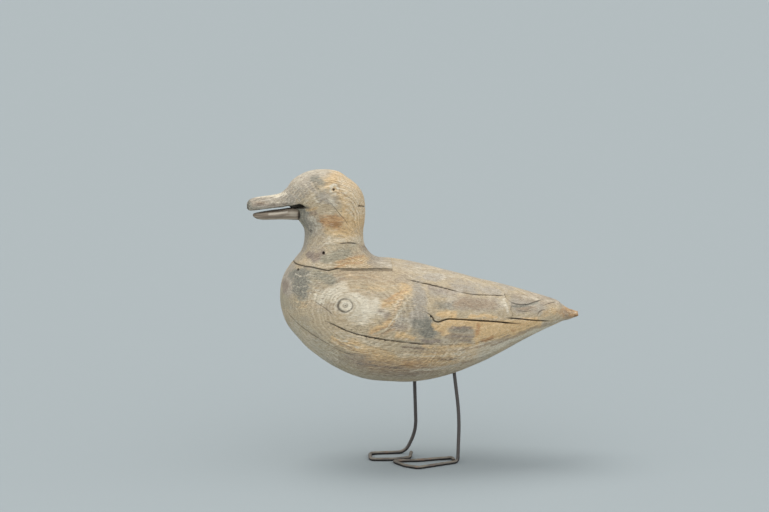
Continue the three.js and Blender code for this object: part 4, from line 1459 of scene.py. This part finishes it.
class DECOY_OT_stage(bpy.types.Operator):
    """Lay the floor, set the lights and place the camera"""

    bl_idname = "decoy.stage"
    bl_label = "Set the stage"

    def execute(self, context):
        settings = context.scene.decoy_stage
        corners = [(-FLOOR_HALF, -FLOOR_HALF, 0), (FLOOR_HALF, -FLOOR_HALF, 0),
                   (FLOOR_HALF, FLOOR_HALF, 0), (-FLOOR_HALF, FLOOR_HALF, 0)]
        data = bpy.data.meshes.new("floor")
        data.from_pydata(corners, [], [(0, 1, 2, 3)])
        floor = new_object("floor", data)
        # Matt paper, pressed and uncoated, gives the eye an even tone without gloss.
        material, _, shader = new_material("matt_paper", specular=0.0, roughness=1.0)
        shader.inputs["Base Color"].default_value = (*settings.floor_colour, 1)
        data.materials.append(material)
        world = bpy.data.worlds.new("studio")
        context.scene.world = world
        world.use_nodes = True
        background = world.node_tree.nodes["Background"]
        background.inputs["Color"].default_value = (*srgb("#f2f6f8"), 1)
        background.inputs["Strength"].default_value = settings.room_light
        soft_light("overhead", 138, 68, 34, settings.overhead_light, "#fffbf6")
        soft_light("front", 4, 30, 172, settings.front_light, "#fffbf7")
        lens = bpy.data.cameras.new("camera")
        lens.lens = settings.lens
        lens.sensor_width = 36
        lens.clip_start, lens.clip_end = 0.05, 100
        camera = new_object("camera", lens)
        camera.location = Vector(STANDPOINT * MM)
        camera.rotation_mode = "QUATERNION"
        camera.rotation_quaternion = Vector(AIM - STANDPOINT).to_track_quat("-Z", "Y")
        context.scene.camera = camera
        context.scene.view_settings.view_transform = "Standard"
        return {"FINISHED"}


class DECOY_PT_panel(bpy.types.Panel):
    """Buttons that make the decoy's pieces and the stage, and their settings"""

    bl_label = "Gull decoy"
    bl_space_type = "VIEW_3D"
    bl_region_type = "UI"
    bl_category = "Decoy"

    def draw(self, context):
        for operator in OPERATORS:
            self.layout.operator(operator.bl_idname)
        for group in (context.scene.decoy, context.scene.decoy_stage):
            for name in group.__annotations__:
                self.layout.prop(group, name)


OPERATORS = (DECOY_OT_body, DECOY_OT_head, DECOY_OT_lower_bill, DECOY_OT_legs, DECOY_OT_stage)
CLASSES = (DecoySettings, StageSettings, *OPERATORS, DECOY_PT_panel)


def register():
    """Makes the decoy's settings, operators and panel known."""
    for item in CLASSES:
        bpy.utils.register_class(item)
    bpy.types.Scene.decoy = PointerProperty(type=DecoySettings)
    bpy.types.Scene.decoy_stage = PointerProperty(type=StageSettings)


def unregister():
    """Takes them away again."""
    del bpy.types.Scene.decoy_stage
    del bpy.types.Scene.decoy
    for item in reversed(CLASSES):
        bpy.utils.unregister_class(item)


def main():
    """Builds the whole decoy."""
    register()
    bpy.ops.decoy.body()
    bpy.ops.decoy.head()
    bpy.ops.decoy.lower_bill()
    bpy.ops.decoy.legs()
    bpy.ops.decoy.stage()


if __name__ == "__main__":
    main()
